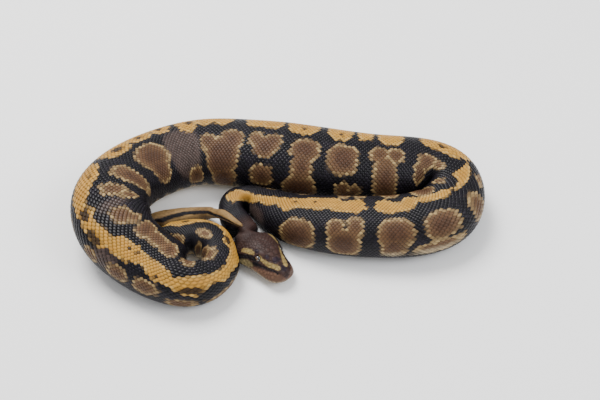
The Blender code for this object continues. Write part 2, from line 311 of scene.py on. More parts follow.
class Hide:
    # the skin's surface as a table of points, rows by distance and columns by share
    def __init__(self, spine):
        self.spine = spine
        start, length = skinForm["headStart"], headForm["length"]
        headRows = start + (length - start) * np.linspace(0, 1, skinForm["headRings"]) ** skinForm["headSpacing"]
        tipStart = spine.length - coil["tipRounding"]
        bodyRows = np.linspace(length, tipStart, skinForm["bodyRings"])[1:]
        tipRows = spine.length - coil["tipRounding"] * np.array(skinForm["tipRings"])
        self.rows = np.concatenate((headRows, bodyRows, tipRows))
        self.shares = np.linspace(-1, 1, skinForm["around"] + 1)
        depth = skinDepth(spine.read(spine.width, self.rows))
        body = bodySections(spine, self.rows, depth)
        head = headSections(spine, self.rows, depth)
        blend = smooth(self.rows, *headForm["neckBlend"])[:, None, None]
        self.points, self.girth = evenly(head * (1 - blend) + body * blend, skinForm["around"])
        self.shapeHead()
        self.normals = self.findNormals()

    def findNormals(self):
        down = np.gradient(self.points, self.rows, axis=0)
        closed = np.concatenate((self.points[:, -2:-1], self.points, self.points[:, 1:2]), axis=1)
        around = closed[:, 2:] - closed[:, :-2]
        self.stretch = np.linalg.norm(down, axis=2)
        normal = np.cross(around, down)
        outward = self.points - self.points.mean(axis=1, keepdims=True)
        sign = np.sign((normal * outward).sum(axis=2).sum(axis=1))[:, None, None]
        return normal * sign / np.maximum(np.linalg.norm(normal, axis=2, keepdims=True), 1e-12)

    def headPlace(self, points, distance):
        # back from the snout, out to the snake's left and height of points, as on the upright head
        distance = np.broadcast_to(np.asarray(distance, float), points.shape[:-1])
        middle, side, _ = self.spine.frames(distance.ravel())
        middle, side = middle.reshape(points.shape), side.reshape(points.shape)
        angle = leanAngle(distance)
        across = ((points - middle) * side).sum(axis=-1)
        rise = points[..., 2] - self.spine.read(self.spine.lift, distance) - headForm["leanHeight"]
        return (distance, across * np.cos(angle) - rise * np.sin(angle),
                headForm["leanHeight"] + rise * np.cos(angle) + across * np.sin(angle))

    def shapeHead(self):
        # lips, brows, cheeks, nostrils and the hollows round the eyes
        def bump(value, middle, spread):
            return ((value - middle) / spread) ** 2

        count = np.searchsorted(self.rows, headForm["swellingEnd"][1])
        normals = self.findNormals()[:count]
        back, out, high = self.headPlace(self.points[:count], self.rows[:count, None])
        fade = 1 - smooth(back, *headForm["swellingEnd"])
        mouth = high - mouthHeight(back)
        corner = headForm["mouthCorner"]
        parted = 1 - smooth(back, corner - headForm["mouthFade"], corner)
        push = np.zeros_like(high)
        for strength, stand, spread in (headForm["mouthCut"], headForm["lipSwelling"]):
            push += strength * np.exp(-bump(mouth, stand, spread)) * parted
        for strength, place, run, stand, spread in headForm["swellings"]:
            push += strength * np.exp(-bump(back, place, run) - bump(high, stand, spread))
        strength, place, run, width, above = headForm["crownFurrow"]
        push += strength * np.exp(-bump(back, place, run) - bump(out, 0, width)) * (high > above)
        for place, side, stand, radius, depth in headPits():
            away = np.sqrt((back - place) ** 2 + (np.abs(out) - side) ** 2 + (high - stand) ** 2)
            push -= depth * np.exp(-(away / radius) ** 2)
        for centre in eyeCentres():
            away = np.linalg.norm(self.points[:count] - centre, axis=2)
            strength, middle, spread = headForm["eyeRim"]
            push += strength * np.exp(-bump(away, middle, spread))
            strength, near, far = headForm["eyeSocket"]
            push += strength * (1 - smooth(away, near, far))
        self.points[:count] += (push * fade)[..., None] * normals

    def at(self, distance, share):
        # point, outward normal, direction towards the tail and stretch along the body
        distance, share = np.broadcast_arrays(np.asarray(distance, float), np.asarray(share, float))
        row = np.clip(np.interp(distance, self.rows, np.arange(len(self.rows))), 0, len(self.rows) - 1.001)
        column = np.clip((share + 1) / 2 * (len(self.shares) - 1), 0, len(self.shares) - 1.001)
        r, c = row.astype(int), column.astype(int)
        fr, fc = (row - r)[..., None], (column - c)[..., None]

        def mixed(table):
            table = table if table.ndim == 3 else table[..., None]
            return ((table[r, c] * (1 - fc) + table[r, c + 1] * fc) * (1 - fr)
                    + (table[r + 1, c] * (1 - fc) + table[r + 1, c + 1] * fc) * fr)

        step = (self.rows[r + 1] - self.rows[r])[..., None]
        along = ((self.points[r + 1, c] * (1 - fc) + self.points[r + 1, c + 1] * fc)
                 - (self.points[r, c] * (1 - fc) + self.points[r, c + 1] * fc)) / step
        normal = mixed(self.normals)
        normal /= np.linalg.norm(normal, axis=-1, keepdims=True)
        along -= (along * normal).sum(axis=-1, keepdims=True) * normal
        stretch = mixed(self.stretch)[..., 0]
        along /= np.maximum(np.linalg.norm(along, axis=-1, keepdims=True), 1e-9)
        return mixed(self.points), normal, along, stretch

    def halfGirth(self, distance, share):
        sides = [np.interp(distance, self.rows, self.girth[:, hand]) for hand in (0, 1)]
        return np.where(np.asarray(share) > 0, sides[1], sides[0])


def headPits():
    # hollows by their distance back, out and height, with radius and depth
    pits = [(*headForm["nostril"], *headForm["nostrilHollow"])]
    first, spacing, count = headForm["heatPits"]
    inwards, above = headForm["pitPlace"]
    for number in range(count):
        place = first + spacing * number
        lip = float(np.interp(place, headForm["stations"], headForm["halfWidth"]))
        pits.append((place, lip - inwards, float(mouthHeight(place)) + above, *headForm["pitHollow"]))
    return pits


def eyeCentres():
    return [sum(np.array(corner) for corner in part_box(name)) / 2 / mm for name in ("eye_left", "eye_right")]


# the flat map of the skin: two long strips of body, and a larger island for the head
flatMap = {
    "stripLength": 297.0, "stripHeight": 0.36,
    "headWidth": 0.3, "headStart": 0.74, "headHeight": 0.25,
    "fill": 0.99, "margin": 0.004,
    "seams": (1e-4, 1e-3),        # length left free where one island ends and the next begins
    "patch": 0.003,               # how much of the map each scale takes
}


def unwrap(distance, share):
    # columns u and v of places on the flat map
    distance, share = np.asarray(distance, float), np.asarray(share, float)
    length, down = headForm["length"], (share + 1) / 2
    run = (distance - length) / flatMap["stripLength"]
    strip = np.clip(np.floor(run), 0, 1)
    onHead = distance < length
    u = np.where(onHead, distance / length * flatMap["headWidth"], run - strip)
    v = np.where(onHead, flatMap["headStart"] + down * flatMap["headHeight"], (strip + down) * flatMap["stripHeight"])
    return np.stack((u, v), axis=-1) * flatMap["fill"] + flatMap["margin"]


def addMesh(name, points, faces, material=None):
    mesh = bpy.data.meshes.new(name)
    mesh.from_pydata(np.asarray(points) * mm, [], faces)
    mesh.validate()
    mesh.shade_smooth()
    obj = bpy.data.objects.new(name, mesh)
    bpy.context.scene.collection.objects.link(obj)
    if material:
        mesh.materials.append(material)
    return obj


def addAttribute(mesh, name, values, kind="FLOAT_VECTOR"):
    layer = mesh.attributes.new(name, kind, "POINT")
    layer.data.foreach_set("value" if kind == "FLOAT" else "vector", np.asarray(values, np.float32).ravel())


def cornerVertices(mesh):
    found = np.empty(len(mesh.loops), int)
    mesh.loops.foreach_get("vertex_index", found)
    return found


def addMap(mesh, spots):
    # the flat map's places, one for every corner of every face
    layer = mesh.uv_layers.new(name="OFBake")
    layer.data.foreach_set("uv", spots.astype(np.float32).ravel())


def domeFaces(start, around):
    # a fan round the middle, two rings of quads and a flat underside
    faces = [(start, start + 1 + turn, start + 1 + (turn + 1) % around) for turn in range(around)]
    for ring in range(2):
        first = start + 1 + ring * around
        for turn in range(around):
            here, after = first + turn, first + (turn + 1) % around
            faces.append((here, here + around, after + around, after))
    return faces + [tuple(start + 3 * around - turn for turn in range(around))]


def backLine(distance):
    # share of the middle of the back, which lies rolled a little in places
    return np.interp(distance, *zip(*markings["backLine"]))


def skinDepth(width):
    return skinForm["depthAtTail"] + skinForm["depthPerWidth"] * width


# The route is moved once, so that the coil stands where the solids stand.
spine = Spine(coil["plan"])
corners = np.concatenate([
    bodySections(spine, np.linspace(headForm["length"], spine.length - 1, 300), np.zeros(300)),
    headSections(spine, np.linspace(0.2, headForm["length"], 60), np.zeros(60))]).reshape(-1, 3)
cadMiddle = (np.array(cadLow) + np.array(cadHigh)) / 2 / mm
spine.points[:, :2] += (cadMiddle - (corners.min(axis=0) + corners.max(axis=0)) / 2)[:2]
hide = Hide(spine)
print("coil", np.round(corners.max(axis=0) - corners.min(axis=0), 1), "spine", round(float(spine.length), 1))


markings = {
    # the middle of the back, by distance: the body lies rolled a little in places
    "backLine": [(33, 0), (60, .08), (66, .15), (70, .20), (76, .13), (84, .05), (92, 0), (100, -.05), (115, -.08),
                 (135, -.07), (155, -.05), (165, -.08), (176, -.05), (186, -.01), (195, .10), (204, .17), (215, .22),
                 (240, .22), (300, .23), (340, .24), (380, .25), (430, .26), (450, .20), (470, .22), (485, .30),
                 (511, .30), (525, .27), (540, .20), (560, .15), (626, .15)],
    # blotches of the flanks, each one lobe or several: distance, share, half-length, half-height, and for
    # some how far they lean and flare
    "blotches": [
        (209.5, -.11, 5.8, .08), (218.5, -.12, 6.8, .13), (222, -.26, 5.2, .15),
        (193, -.16, 3.2, .09),
        (237, -.08, 5.4, .10), (246, -.08, 6.0, .11), (243, -.35, 7.2, .33),
        (265.5, -.16, 9.3, .185),
        (258.5, -.48, 4.2, .09), (264.5, -.48, 4.6, .10), (262, -.57, 7.5, .10),
        (286.3, -.11, 9.2, .135), (286.8, -.27, 6.6, .20), (287.5, -.51, 10.0, .16),
        (304.6, -.06, 6.4, .10), (313.8, -.05, 5.0, .10), (308, -.13, 8.4, .14, 0, .35),
        (308, -.43, 7.2, .14),
        (328, -.09, 7.8, .15), (342, -.11, 5.8, .12), (332.5, -.27, 11.6, .24, 0, .06),
        (330.5, -.50, 8.6, .17, 0, .1),
        (353.5, -.46, 8.0, .12),
        (380.5, -.02, 9.0, .10), (381.5, -.12, 12.6, .16), (382, -.28, 8.6, .16, 0, .2),
        (406, -.19, 6.8, .27),
        (419.5, -.05, 4.4, .16), (423, -.20, 3.8, .10),
        (436, -.04, 6.0, .12), (440.8, -.13, 3.6, .10),
        (451, -.13, 6.6, .145), (461, -.12, 9.5, .11), (471, -.10, 6.4, .125),
        (484, -.11, 5.2, .17), (500, -.08, 7.0, .14), (505, -.32, 5.4, .22),
        (520, -.07, 6.6, .10), (519, -.46, 4.2, .21), (536.5, -.27, 4.8, .12),
        (123, -.40, 4.6, .24), (132.8, -.42, 5.0, .25), (150.5, -.42, 7.4, .26),
        (175, -.28, 12.0, .17), (170, -.52, 6.6, .16), (98, -.46, 7.4, .20),
        (75, -.40, 6.0, .18),
        (103.5, .41, 9.4, .24),
        (121.8, .25, 5.4, .13), (131.6, .22, 5.0, .145), (126.5, .42, 9.0, .20),
        (151.5, .28, 9.8, .18), (150.5, .43, 7.0, .15),
        (172, .26, 8.4, .165), (169.5, .50, 11.2, .09), (187.5, .36, 4.0, .20),
        (197.5, .31, 2.8, .06), (202, .56, 5.6, .15),
        (440, .46, 4.4, .08), (454.2, .44, 6.6, .10), (469, .43, 6.9, .11),
        (482, .57, 4.8, .11), (496.5, .61, 8.8, .11), (514, .62, 5.5, .10),
        (424, .56, 6.0, .12),
        (216, .64, 6.5, .15), (236, .63, 7.6, .17, 0, .15), (258, .64, 7.8, .15),
        (279, .63, 7.0, .18, 0, .2), (299, .64, 7.4, .15), (321, .63, 8.2, .17, 0, .15),
        (343, .64, 6.8, .16), (364, .63, 7.6, .17, 0, .2), (385, .64, 6.6, .15),
        (404, .65, 5.6, .14), (552, .5, 5.0, .12), (556, -.4, 6.0, .2)],
    # gold pieces along the back, again as lobes
    "goldLobes": [
        (215.2, .25, 9.2, .17), (239.5, .23, 7.0, .175), (254, .25, 4.6, .15),
        (268.5, .23, 7.0, .17), (289.5, .24, 9.0, .17), (307.5, .26, 6.4, .15),
        (316.5, .26, 6.2, .145), (335, .27, 5.4, .14), (343.5, .27, 5.2, .135),
        (352.5, .22, 4.8, .165), (365.5, .27, 5.0, .135), (377.6, .27, 7.0, .135),
        (391.5, .25, 8.0, .155)],
    # gold bands: their lower and upper edges, each share by distance
    "goldBands": [
        ([(56.5, -.06), (58, -.18), (60, -.24), (62, -.16), (66, .01), (69, .07), (74, .07), (80, -.01),
          (89, -.09), (101, -.15), (115, -.20), (119, -.20), (124, -.13), (134, -.19), (136.5, -.05)],
         [(56.5, -.02), (58, .08), (60, .20), (66, .30), (70, .35), (74, .25), (76, .22), (78, .165), (83, .165),
          (88, .075), (90, .075), (94, .15), (97.5, .065), (100, .03), (112, .03), (117, -.01), (120, .035),
          (128, .035), (132, .05), (136.5, -.02)]),
        ([(141.5, -.08), (142, -.12), (146, -.16), (153, -.10), (156, -.10), (159, -.18), (170, -.12), (184, -.08),
          (187, 0)],
         [(141.5, -.03), (144, .03), (149, .05), (160, .03), (164.5, -.06), (170, -.05), (180, .015), (184.5, .03),
          (187, .01)]),
        ([(188, .05), (189, .035), (193, .05), (195, .05), (197, .01), (199.5, .02), (201, .10), (204, .20)],
         [(188, .06), (190, .085), (195, .16), (200, .21), (204, .22)]),
        ([(403, .3), (404, .22), (410, .125), (419, .165), (425, .23), (428, .165), (432, .20), (439, .155),
          (442, .175), (446, .085), (450, .085), (457, .075), (465, .115), (470, .11), (475, .125), (480, .21),
          (486, .165), (490, .18), (496, .23), (506, .22), (509, .145), (511, .125), (516, .22), (524, .20),
          (531, .095), (536, .04), (545, .09), (556, .10)],
         [(403, .32), (405, .36), (417, .36), (427, .34), (430, .32), (439, .35), (443, .33), (444, .28), (456, .28),
          (462, .23), (465, .23), (470, .30), (479, .33), (484, .42), (486, .42), (490, .33), (492, .33),
          (495, .40), (499, .36), (504, .44), (515, .45), (525, .33), (545, .31), (556, .26)])],
    # small dark marks in the gold: distance, share, half-length, half-height
    "darkSpots": [(428.5, .26, 2.6, .05), (438, .30, 4.2, .04), (485, .35, 3.2, .045), (351, .22, 1.8, .05),
                  (365.5, .25, 1.6, .04), (377.5, .22, 1.8, .035), (391, .20, 3.0, .05), (511, .21, 2.4, .05),
                  (534, .18, 2.0, .04), (457.5, .26, 1.1, .02), (452.5, .145, 1.1, .02), (458, .145, 1.0, .02),
                  (472.5, .265, 1.3, .02), (411, .21, 1.2, .02), (97, -.05, 1.2, .02), (108, -.09, 1.1, .02),
                  (215, .17, 1.5, .03), (289, .16, 1.4, .03), (268, .15, 1.2, .03)],
    "fadedLobes": [(78, .42, 9.0, .19), (359, -.18, 13.0, .32), (428, -.03, 3.6, .21, 2, 0),
                   (447, .40, 8.0, .12)],
    "paleLobes": [(168.5, .55, 11.0, .055), (150, .56, 5.5, .045)],
    # dark stripe of the tail: distance, share
    "tailStripe": [(558, .20), (566, .26), (572, .20), (580, .14), (590, .17), (597, .26), (605, .44), (626, .50)],
    "tailStart": (557, 566),
    "stripeEdge": (0.10, 0.03, 0.03),         # half-width, softness and the jitter's part
    "stripeBreak": (582, 4.5, .31, .09),      # distance and reach, share and reach
    "lobePower": 2.5,         # 2 is an ellipse, more is squarer
    "lobeSearch": 2.2,        # lobes farther away than this many half-lengths don't count
    "bandEnd": 0.3,
    # depths inside the edge, in millimetres
    "outside": -99.0,
    "inset": 0.8,             # how far every blotch stays inside its lobes
    "smallLobe": 6.0,         # lobes smaller than this keep more of their size
    "softness": 0.45,
    "rim": (0.65, 1.65),
    "centre": (2.2, 5.4),
    "goldEdge": (0.6, 1.5),
    "faded": (-0.5, 3.0),
    "pale": (-0.45, 1.2, 0.5),                # the last is its strength
    "belly": (0.84, 0.93),
    "bellyWaves": [(0.035, 0.55, 0), (0.02, 1.7, 1)],
}


def lobeField(distance, share, lobes, inset=0.0):
    # depth inside the nearest lobe in millimetres, negative outside
    field = np.full(np.shape(distance), markings["outside"])
    power = markings["lobePower"]
    for place, middle, halfLength, halfHeight, *bent in lobes:
        lean, flare = bent or (0, 0)
        near = np.abs(distance - place) < markings["lobeSearch"] * halfLength + abs(lean)
        if not near.any():
            continue
        down = (share[near] - middle) / halfHeight
        length = np.maximum(halfLength * (1 + flare * np.clip(down, -1, 1)), 0.5)
        run = (distance[near] - place - lean * down) / length
        reach = (np.abs(down) ** power + np.abs(run) ** power) ** (1 / power)
        size = min(halfLength, halfHeight * float(hide.halfGirth(place, middle)))
        less = inset * min(1.0, size / markings["smallLobe"])
        field[near] = np.maximum(field[near], (1 - reach) * size - less)
    return field


def bandField(distance, share, bands):
    field = np.full(np.shape(distance), markings["outside"])
    girth = hide.halfGirth(distance, share)
    for lower, upper in bands:
        start, end = lower[0][0], lower[-1][0]
        inside = np.minimum(share - np.interp(distance, *zip(*lower)), np.interp(distance, *zip(*upper)) - share)
        inside = np.minimum(inside * girth, np.minimum(distance - start, end - distance) + markings["bandEnd"])
        field = np.maximum(field, inside)
    return field


def strokeField(x, y, stroke):
    # distance to a broken line whose rows are x, y, half-width; positive inside
    best = np.full(np.shape(x), markings["outside"])
    for (x0, y0, w0), (x1, y1, w1) in zip(stroke, stroke[1:]):
        span = (x1 - x0) ** 2 + (y1 - y0) ** 2
        t = np.clip(((x - x0) * (x1 - x0) + (y - y0) * (y1 - y0)) / span, 0, 1)
        best = np.maximum(best, w0 + (w1 - w0) * t - np.hypot(x - x0 - t * (x1 - x0), y - y0 - t * (y1 - y0)))
    return best


def bodyMarks(distance, share, jitter=0.0):
    # how much each finish shows at a place on the body
    distance, share = np.asarray(distance, float), np.asarray(share, float)
    around = np.abs(share - backLine(distance))
    blotch = lobeField(distance, share, markings["blotches"], markings["inset"]) + jitter
    gold = np.maximum(lobeField(distance, share, markings["goldLobes"]),
                      bandField(distance, share, markings["goldBands"])) + jitter
    faded = lobeField(distance, share, markings["fadedLobes"]) + jitter
    pale = lobeField(distance, share, markings["paleLobes"]) + jitter
    spots = lobeField(distance, share, markings["darkSpots"])
    edge = markings["softness"]
    tail = smooth(distance, *markings["tailStart"])
    out = {"gold": smooth(gold, -edge, edge)}
    out["blotch"] = smooth(blotch, -edge, edge) * (1 - out["gold"])
    out["rim"] = out["blotch"] * (1 - smooth(blotch, *markings["rim"]))
    out["centre"] = out["blotch"] * smooth(blotch, *markings["centre"])
    out["goldEdge"] = out["gold"] * (1 - smooth(gold, *markings["goldEdge"]))
    out["dark"] = smooth(spots, -edge, edge)
    out["faded"] = smooth(faded, *markings["faded"]) * (1 - out["blotch"]) * (1 - out["gold"])
    wave = sum(size * np.sin(distance * pace + start) for size, pace, start in markings["bellyWaves"])
    belly = smooth(around + wave * (1 - out["blotch"]), *markings["belly"])
    low, high, strength = markings["pale"]
    out["pale"] = np.maximum(belly, smooth(pale, low, high) * strength)
    # the tail is pale with one dark stripe
    for name in ("gold", "blotch", "rim", "centre", "faded", "dark"):
        out[name] = out[name] * (1 - tail)
    halfWidth, soft, part = markings["stripeEdge"]
    middle = np.interp(distance, *zip(*markings["tailStripe"]))
    stripe = smooth(halfWidth - np.abs(share - middle) + jitter * part, -soft, soft)
    place, length, level, width = markings["stripeBreak"]
    stripe *= 1 - smooth(np.hypot((distance - place) / length, (share - level) / width), 1.1, 0.9)
    out["tail"] = tail * (1 - stripe)
    return out


headMarkings = {
    # strokes: distance back, distance round from the middle of the crown, half-width
    "rightStripe": [(16.2, 7.4, 0.7), (13.9, 7.4, 0.8), (9.2, 5.8, 1.15), (5.2, 2.9, 1.25), (4.6, 2.6, 1.1)],
    "leftStripe": [(16.2, 6.9, 0.7), (11.8, 5.0, 0.85), (8.8, 3.9, 1.15), (5.3, 2.5, 1.35), (4.6, 2.2, 1.2)],
    "browPatch": [(27.0, 10.2, 1.1), (25.4, 9.9, 1.35), (23.4, 9.6, 1.45), (21.6, 9.2, 1.25), (20.0, 8.8, 0.8)],
    "cheekPatch": [(25.5, 17.0, 1.6), (21.8, 15.7, 1.8), (19.4, 14.9, 1.6), (17.2, 13.8, 0.9)],
    "eyeBand": [(17.6, 10.3, 1.1), (18.8, 11.0, 1.15), (21.5, 12.1, 1.25), (24.5, 13.6, 1.4), (29.0, 14.6, 1.7),
                (34.0, 14.0, 2.0)],
    "noseBand": [(16.6, 12.4, 0.9), (14.8, 11.1, 0.85), (12.0, 9.7, 0.6), (9.3, 8.1, 0.5), (6.0, 6.0, 0.45),
                 (3.6, 4.6, 0.4)],
    # darker shields on the crown: distance back, distance round on the snake's left, reach back and across
    "darkShields": [(9.0, -0.9, 1.9, 2.5), (3.5, 0.2, 1.9, 2.2), (15.2, -11.0, 1.3, 1.2), (15.2, 11.0, 1.3, 1.2),
                    (19.4, -6.6, 1.6, 1.1), (13.0, -4.2, 1.4, 1.2)],
    # the lips begin below this line: distance back, distance round
    "lipLine": [(0.0, 0.9), (1.4, 3.0), (3.6, 5.2), (8.0, 8.7), (14.0, 12.5), (17.0, 15.2), (20.0, 18.5)],
    "lipEnd": (15.5, 18.5),
    "headEnd": (31.0, 37.0),
    "napeEnd": (41.0, 48.0),
    "nape": (0.06, 0.26, 0.44),               # share of its middle, and the shares away over which it fades
    "softness": {"leftStripe": 0.2, "rightStripe": 0.2, "browPatch": 0.3, "cheekPatch": 0.4, "eyeBand": 0.35,
                 "noseBand": 0.25},
    # fades: below the lip line, and by height from the mouth line
    "lipBelow": (-0.3, 0.4), "lipHeight": (-1.4, -0.8), "chinHeight": (-1.6, -0.9),
    "lipEdge": (0.8, 0.7, (22.0, 26.0)),      # height above the mouth line, spread, and where it ends
    "mouthShade": (0.24, 1.5),                      # spread of the painted shade along the mouth line, and how gently it ends
    # the nostrils and heat pits get painted shade, which fades between these shares of each hollow's radius
    "shieldFade": (0.75, 1.05), "hollowShadeFade": (0.8, 1.15),
}


def headMarks(back, share, points):
    # how much each finish shows at a place on the head
    _, out, high = hide.headPlace(points, back)
    around = share * hide.halfGirth(back, share)
    onHead = 1 - smooth(back, *headMarkings["headEnd"])

    def stroke(name):
        soft = headMarkings["softness"][name]
        return smooth(strokeField(back, np.abs(around), headMarkings[name]), -soft, soft) * onHead

    marks = {}
    middle, near, far = headMarkings["nape"]
    nape = (1 - smooth(back, *headMarkings["napeEnd"])) * (1 - smooth(np.abs(share - middle), near, far))
    marks["head"] = np.maximum(onHead, nape)
    stripe = np.where(share > 0, stroke("leftStripe"), stroke("rightStripe"))
    marks["cream"] = np.maximum(stripe, stroke("browPatch"))
    marks["black"] = np.maximum(stroke("eyeBand"), stroke("noseBand"))
    marks["olive"] = stroke("cheekPatch")
    above = high - mouthHeight(back)
    below = np.abs(around) - np.interp(back, *zip(*headMarkings["lipLine"]))
    marks["lip"] = (smooth(below, *headMarkings["lipBelow"]) * (1 - smooth(back, *headMarkings["lipEnd"]))
                    * smooth(above, *headMarkings["lipHeight"]) * onHead)
    marks["chin"] = (1 - smooth(above, *headMarkings["chinHeight"])) * onHead
    stand, spread, end = headMarkings["lipEdge"]
    marks["lipEdge"] = np.exp(-((above - stand) / spread) ** 2) * (1 - smooth(back, *end)) * onHead
    marks["shield"] = np.zeros(np.shape(back))
    for place, middle, length, width in headMarkings["darkShields"]:
        away = np.hypot((back - place) / length, (around - middle) / width)
        marks["shield"] = np.maximum(marks["shield"], 1 - smooth(away, *headMarkings["shieldFade"]))
    # painted shade: near-black in the nostrils and heat pits, and along the mouth line
    hollow = np.zeros(np.shape(back))
    for place, side, stand, radius, _ in headPits():
        away = np.sqrt((back - place) ** 2 + (np.abs(out) - side) ** 2 + (high - stand) ** 2)
        hollow = np.maximum(hollow, 1 - smooth(away / radius, *headMarkings["hollowShadeFade"]))
    spread, ending = headMarkings["mouthShade"]
    corner = headForm["mouthCorner"]
    mouthShade = np.exp(-(above / spread) ** 2) * (1 - smooth(back, corner - ending, corner))
    marks["hollow"] = np.maximum(hollow, mouthShade) * onHead
    return marks


# attributes that carry the strengths of the marks to the flesh material, three in each
carriers = {
    "blotchMarks": ("blotch", "centre", "rim"), "bandMarks": ("gold", "goldEdge", "dark"),
    "paleMarks": ("pale", "faded", "chin"), "headMarks": ("head", "cream", "black"),
    # hollow carries the painted shade of the nostrils, the heat pits and the mouth line
    "faceMarks": ("olive", "lip", "hollow"), "crownMarks": ("shield", "lipEdge", "tail"),
}


def paintMarks(mesh, distance, share, points, jitter=0.0):
    marks = {**bodyMarks(distance, share, jitter), **headMarks(distance, share, points)}
    for name, parts in carriers.items():
        addAttribute(mesh, name, np.column_stack([marks[part] for part in parts]))


class Wire:
    # one output of a node; arithmetic on it adds Math nodes
    def __init__(self, net, socket):
        self.net, self.socket = net, socket

    def maths(self, operation, first, second=None):
        values = {0: first} if second is None else {0: first, 1: second}
        return self.net.node("Math", {"operation": operation}, values)

    def __add__(self, other):
        return self.maths("ADD", self, other)

    def __radd__(self, other):
        return self.maths("ADD", other, self)

    def __sub__(self, other):
        return self.maths("SUBTRACT", self, other)

    def __rsub__(self, other):
        return self.maths("SUBTRACT", other, self)

    def __mul__(self, other):
        return self.maths("MULTIPLY", self, other)

    def __rmul__(self, other):
        return self.maths("MULTIPLY", other, self)

    def __truediv__(self, other):
        return self.maths("DIVIDE", self, other)

    def __rtruediv__(self, other):
        return self.maths("DIVIDE", other, self)

    def parts(self):
        split = self.net.node("SeparateXYZ", {}, {0: self}).socket.node
        return [Wire(self.net, output) for output in split.outputs]


class Net:
    # a node tree of a material or of Geometry Nodes
    def __init__(self, tree, family="ShaderNode"):
        self.tree, self.family = tree, family
        self.made = 0

    def node(self, kind, settings=None, values=None, output=0):
        for family in (self.family, "ShaderNode", "GeometryNode", "FunctionNode"):
            if hasattr(bpy.types, family + kind):
                break
        node = self.tree.nodes.new(family + kind)
        node.location = (self.made % 12 * 200, -(self.made // 12) * 260)
        self.made += 1
        for name, value in (settings or {}).items():
            setattr(node, name, value)
        for name, value in (values or {}).items():
            if isinstance(value, Wire):
                self.tree.links.new(value.socket, node.inputs[name])
            else:
                node.inputs[name].default_value = value
        return Wire(self, node.outputs[output])

    def mix(self, first, second, factor):
        # colours: factor 0 keeps the first
        def colour(value):
            return value if isinstance(value, Wire) else (*value, 1)
        return self.node("Mix", {"data_type": "RGBA", "clamp_factor": True},
                         {0: factor, 6: colour(first), 7: colour(second)}, 2)


def newFinish(name):
    material = bpy.data.materials.new(name)
    material.use_nodes = True
    return material, Net(material.node_tree), material.node_tree.nodes["Principled BSDF"].inputs


def tone(red, green, blue):
    # a colour given as it looks on a screen, 0 to 255, as the light it gives back
    return tuple(((value / 255 + 0.055) / 1.055) ** 2.4 for value in (red, green, blue))


finish = {
    "ground": tone(13, 11, 17), "groundSheen": tone(30, 25, 34),
    "tan": tone(97, 71, 48), "tanDeep": tone(78, 55, 37),
    "centre": tone(68, 45, 32), "rim": tone(150, 126, 86),
    "gold": tone(176, 130, 53), "goldDeep": tone(142, 97, 38), "goldEdge": tone(184, 150, 86),
    "belly": tone(180, 163, 132), "faded": tone(76, 62, 57), "spot": tone(24, 16, 15),
    "tail": tone(160, 128, 82),
    "crown": tone(60, 41, 36), "crownDeep": tone(44, 31, 30), "shield": tone(34, 25, 36),
    "cream": tone(152, 130, 80), "band": tone(11, 8, 14), "olive": tone(120, 107, 74),
    # hollow: near-black painted shade for the nostrils, the heat pits and the mouth line
    "lip": tone(106, 78, 61), "lipDeep": tone(82, 56, 47), "hollow": tone(8, 6, 7),
    # layers over the ground: mark, its strength and its tone, or for a clouded layer two tones,
    # the cloud's level and contrast, and how much the scale's own tint changes it
    "layers": [
        ("faded", 0.8, "faded"),
        ("blotch", 1.0, "tan", "tanDeep", 0.4, 2.2, 0.3),
        ("centre", 0.85, "centre"),
        ("rim", 1.0, "rim"),
        ("gold", 1.0, "gold", "goldDeep", 0.45, 2.0, 0.3),
        ("goldEdge", 0.6, "goldEdge"),
        ("tail", 0.92, "tail", "tan", 0.42, 3.0, 0.0),
        ("dark", 0.93, "spot"),
        ("pale", 1.0, "belly"),
        ("head", 1.0, "crown", "crownDeep", 0.35, 2.0, 0.25),
        ("shield", 0.85, "shield"),
        ("lip", 0.92, "lip", "lipDeep", 0.4, 2.4, 0.3),
        ("lipEdge", 0.7, "belly"),
        ("olive", 0.9, "olive"),
        ("cream", 0.9, "cream"),
        ("black", 0.92, "band"),
        ("chin", 0.85, "belly"),
    ],
    "groundCloud": (0.42, 1.6, 0.35),
    "rimStrength": (0.82, 0.3),        # the second is the tint's part
    "cloud": {"Scale": 90.0, "Detail": 3.0},
    "grain": {"Scale": 900.0, "Detail": 4.0},
    # scale edges are darker than their middles, and the grain breaks up flat colour
    "edgeShade": 0.42, "grainShade": 0.18, "tintShade": 0.16,
    "bump": {"Strength": 0.25, "Distance": 0.00005},
    "roughness": 0.42, "grainRoughness": 0.2, "goldRoughness": 0.05, "groundGloss": 0.06, "headRoughness": 0.14,
    "surface": {"Specular IOR Level": 0.15, "Coat Weight": 0.03, "Coat Roughness": 0.25},
}


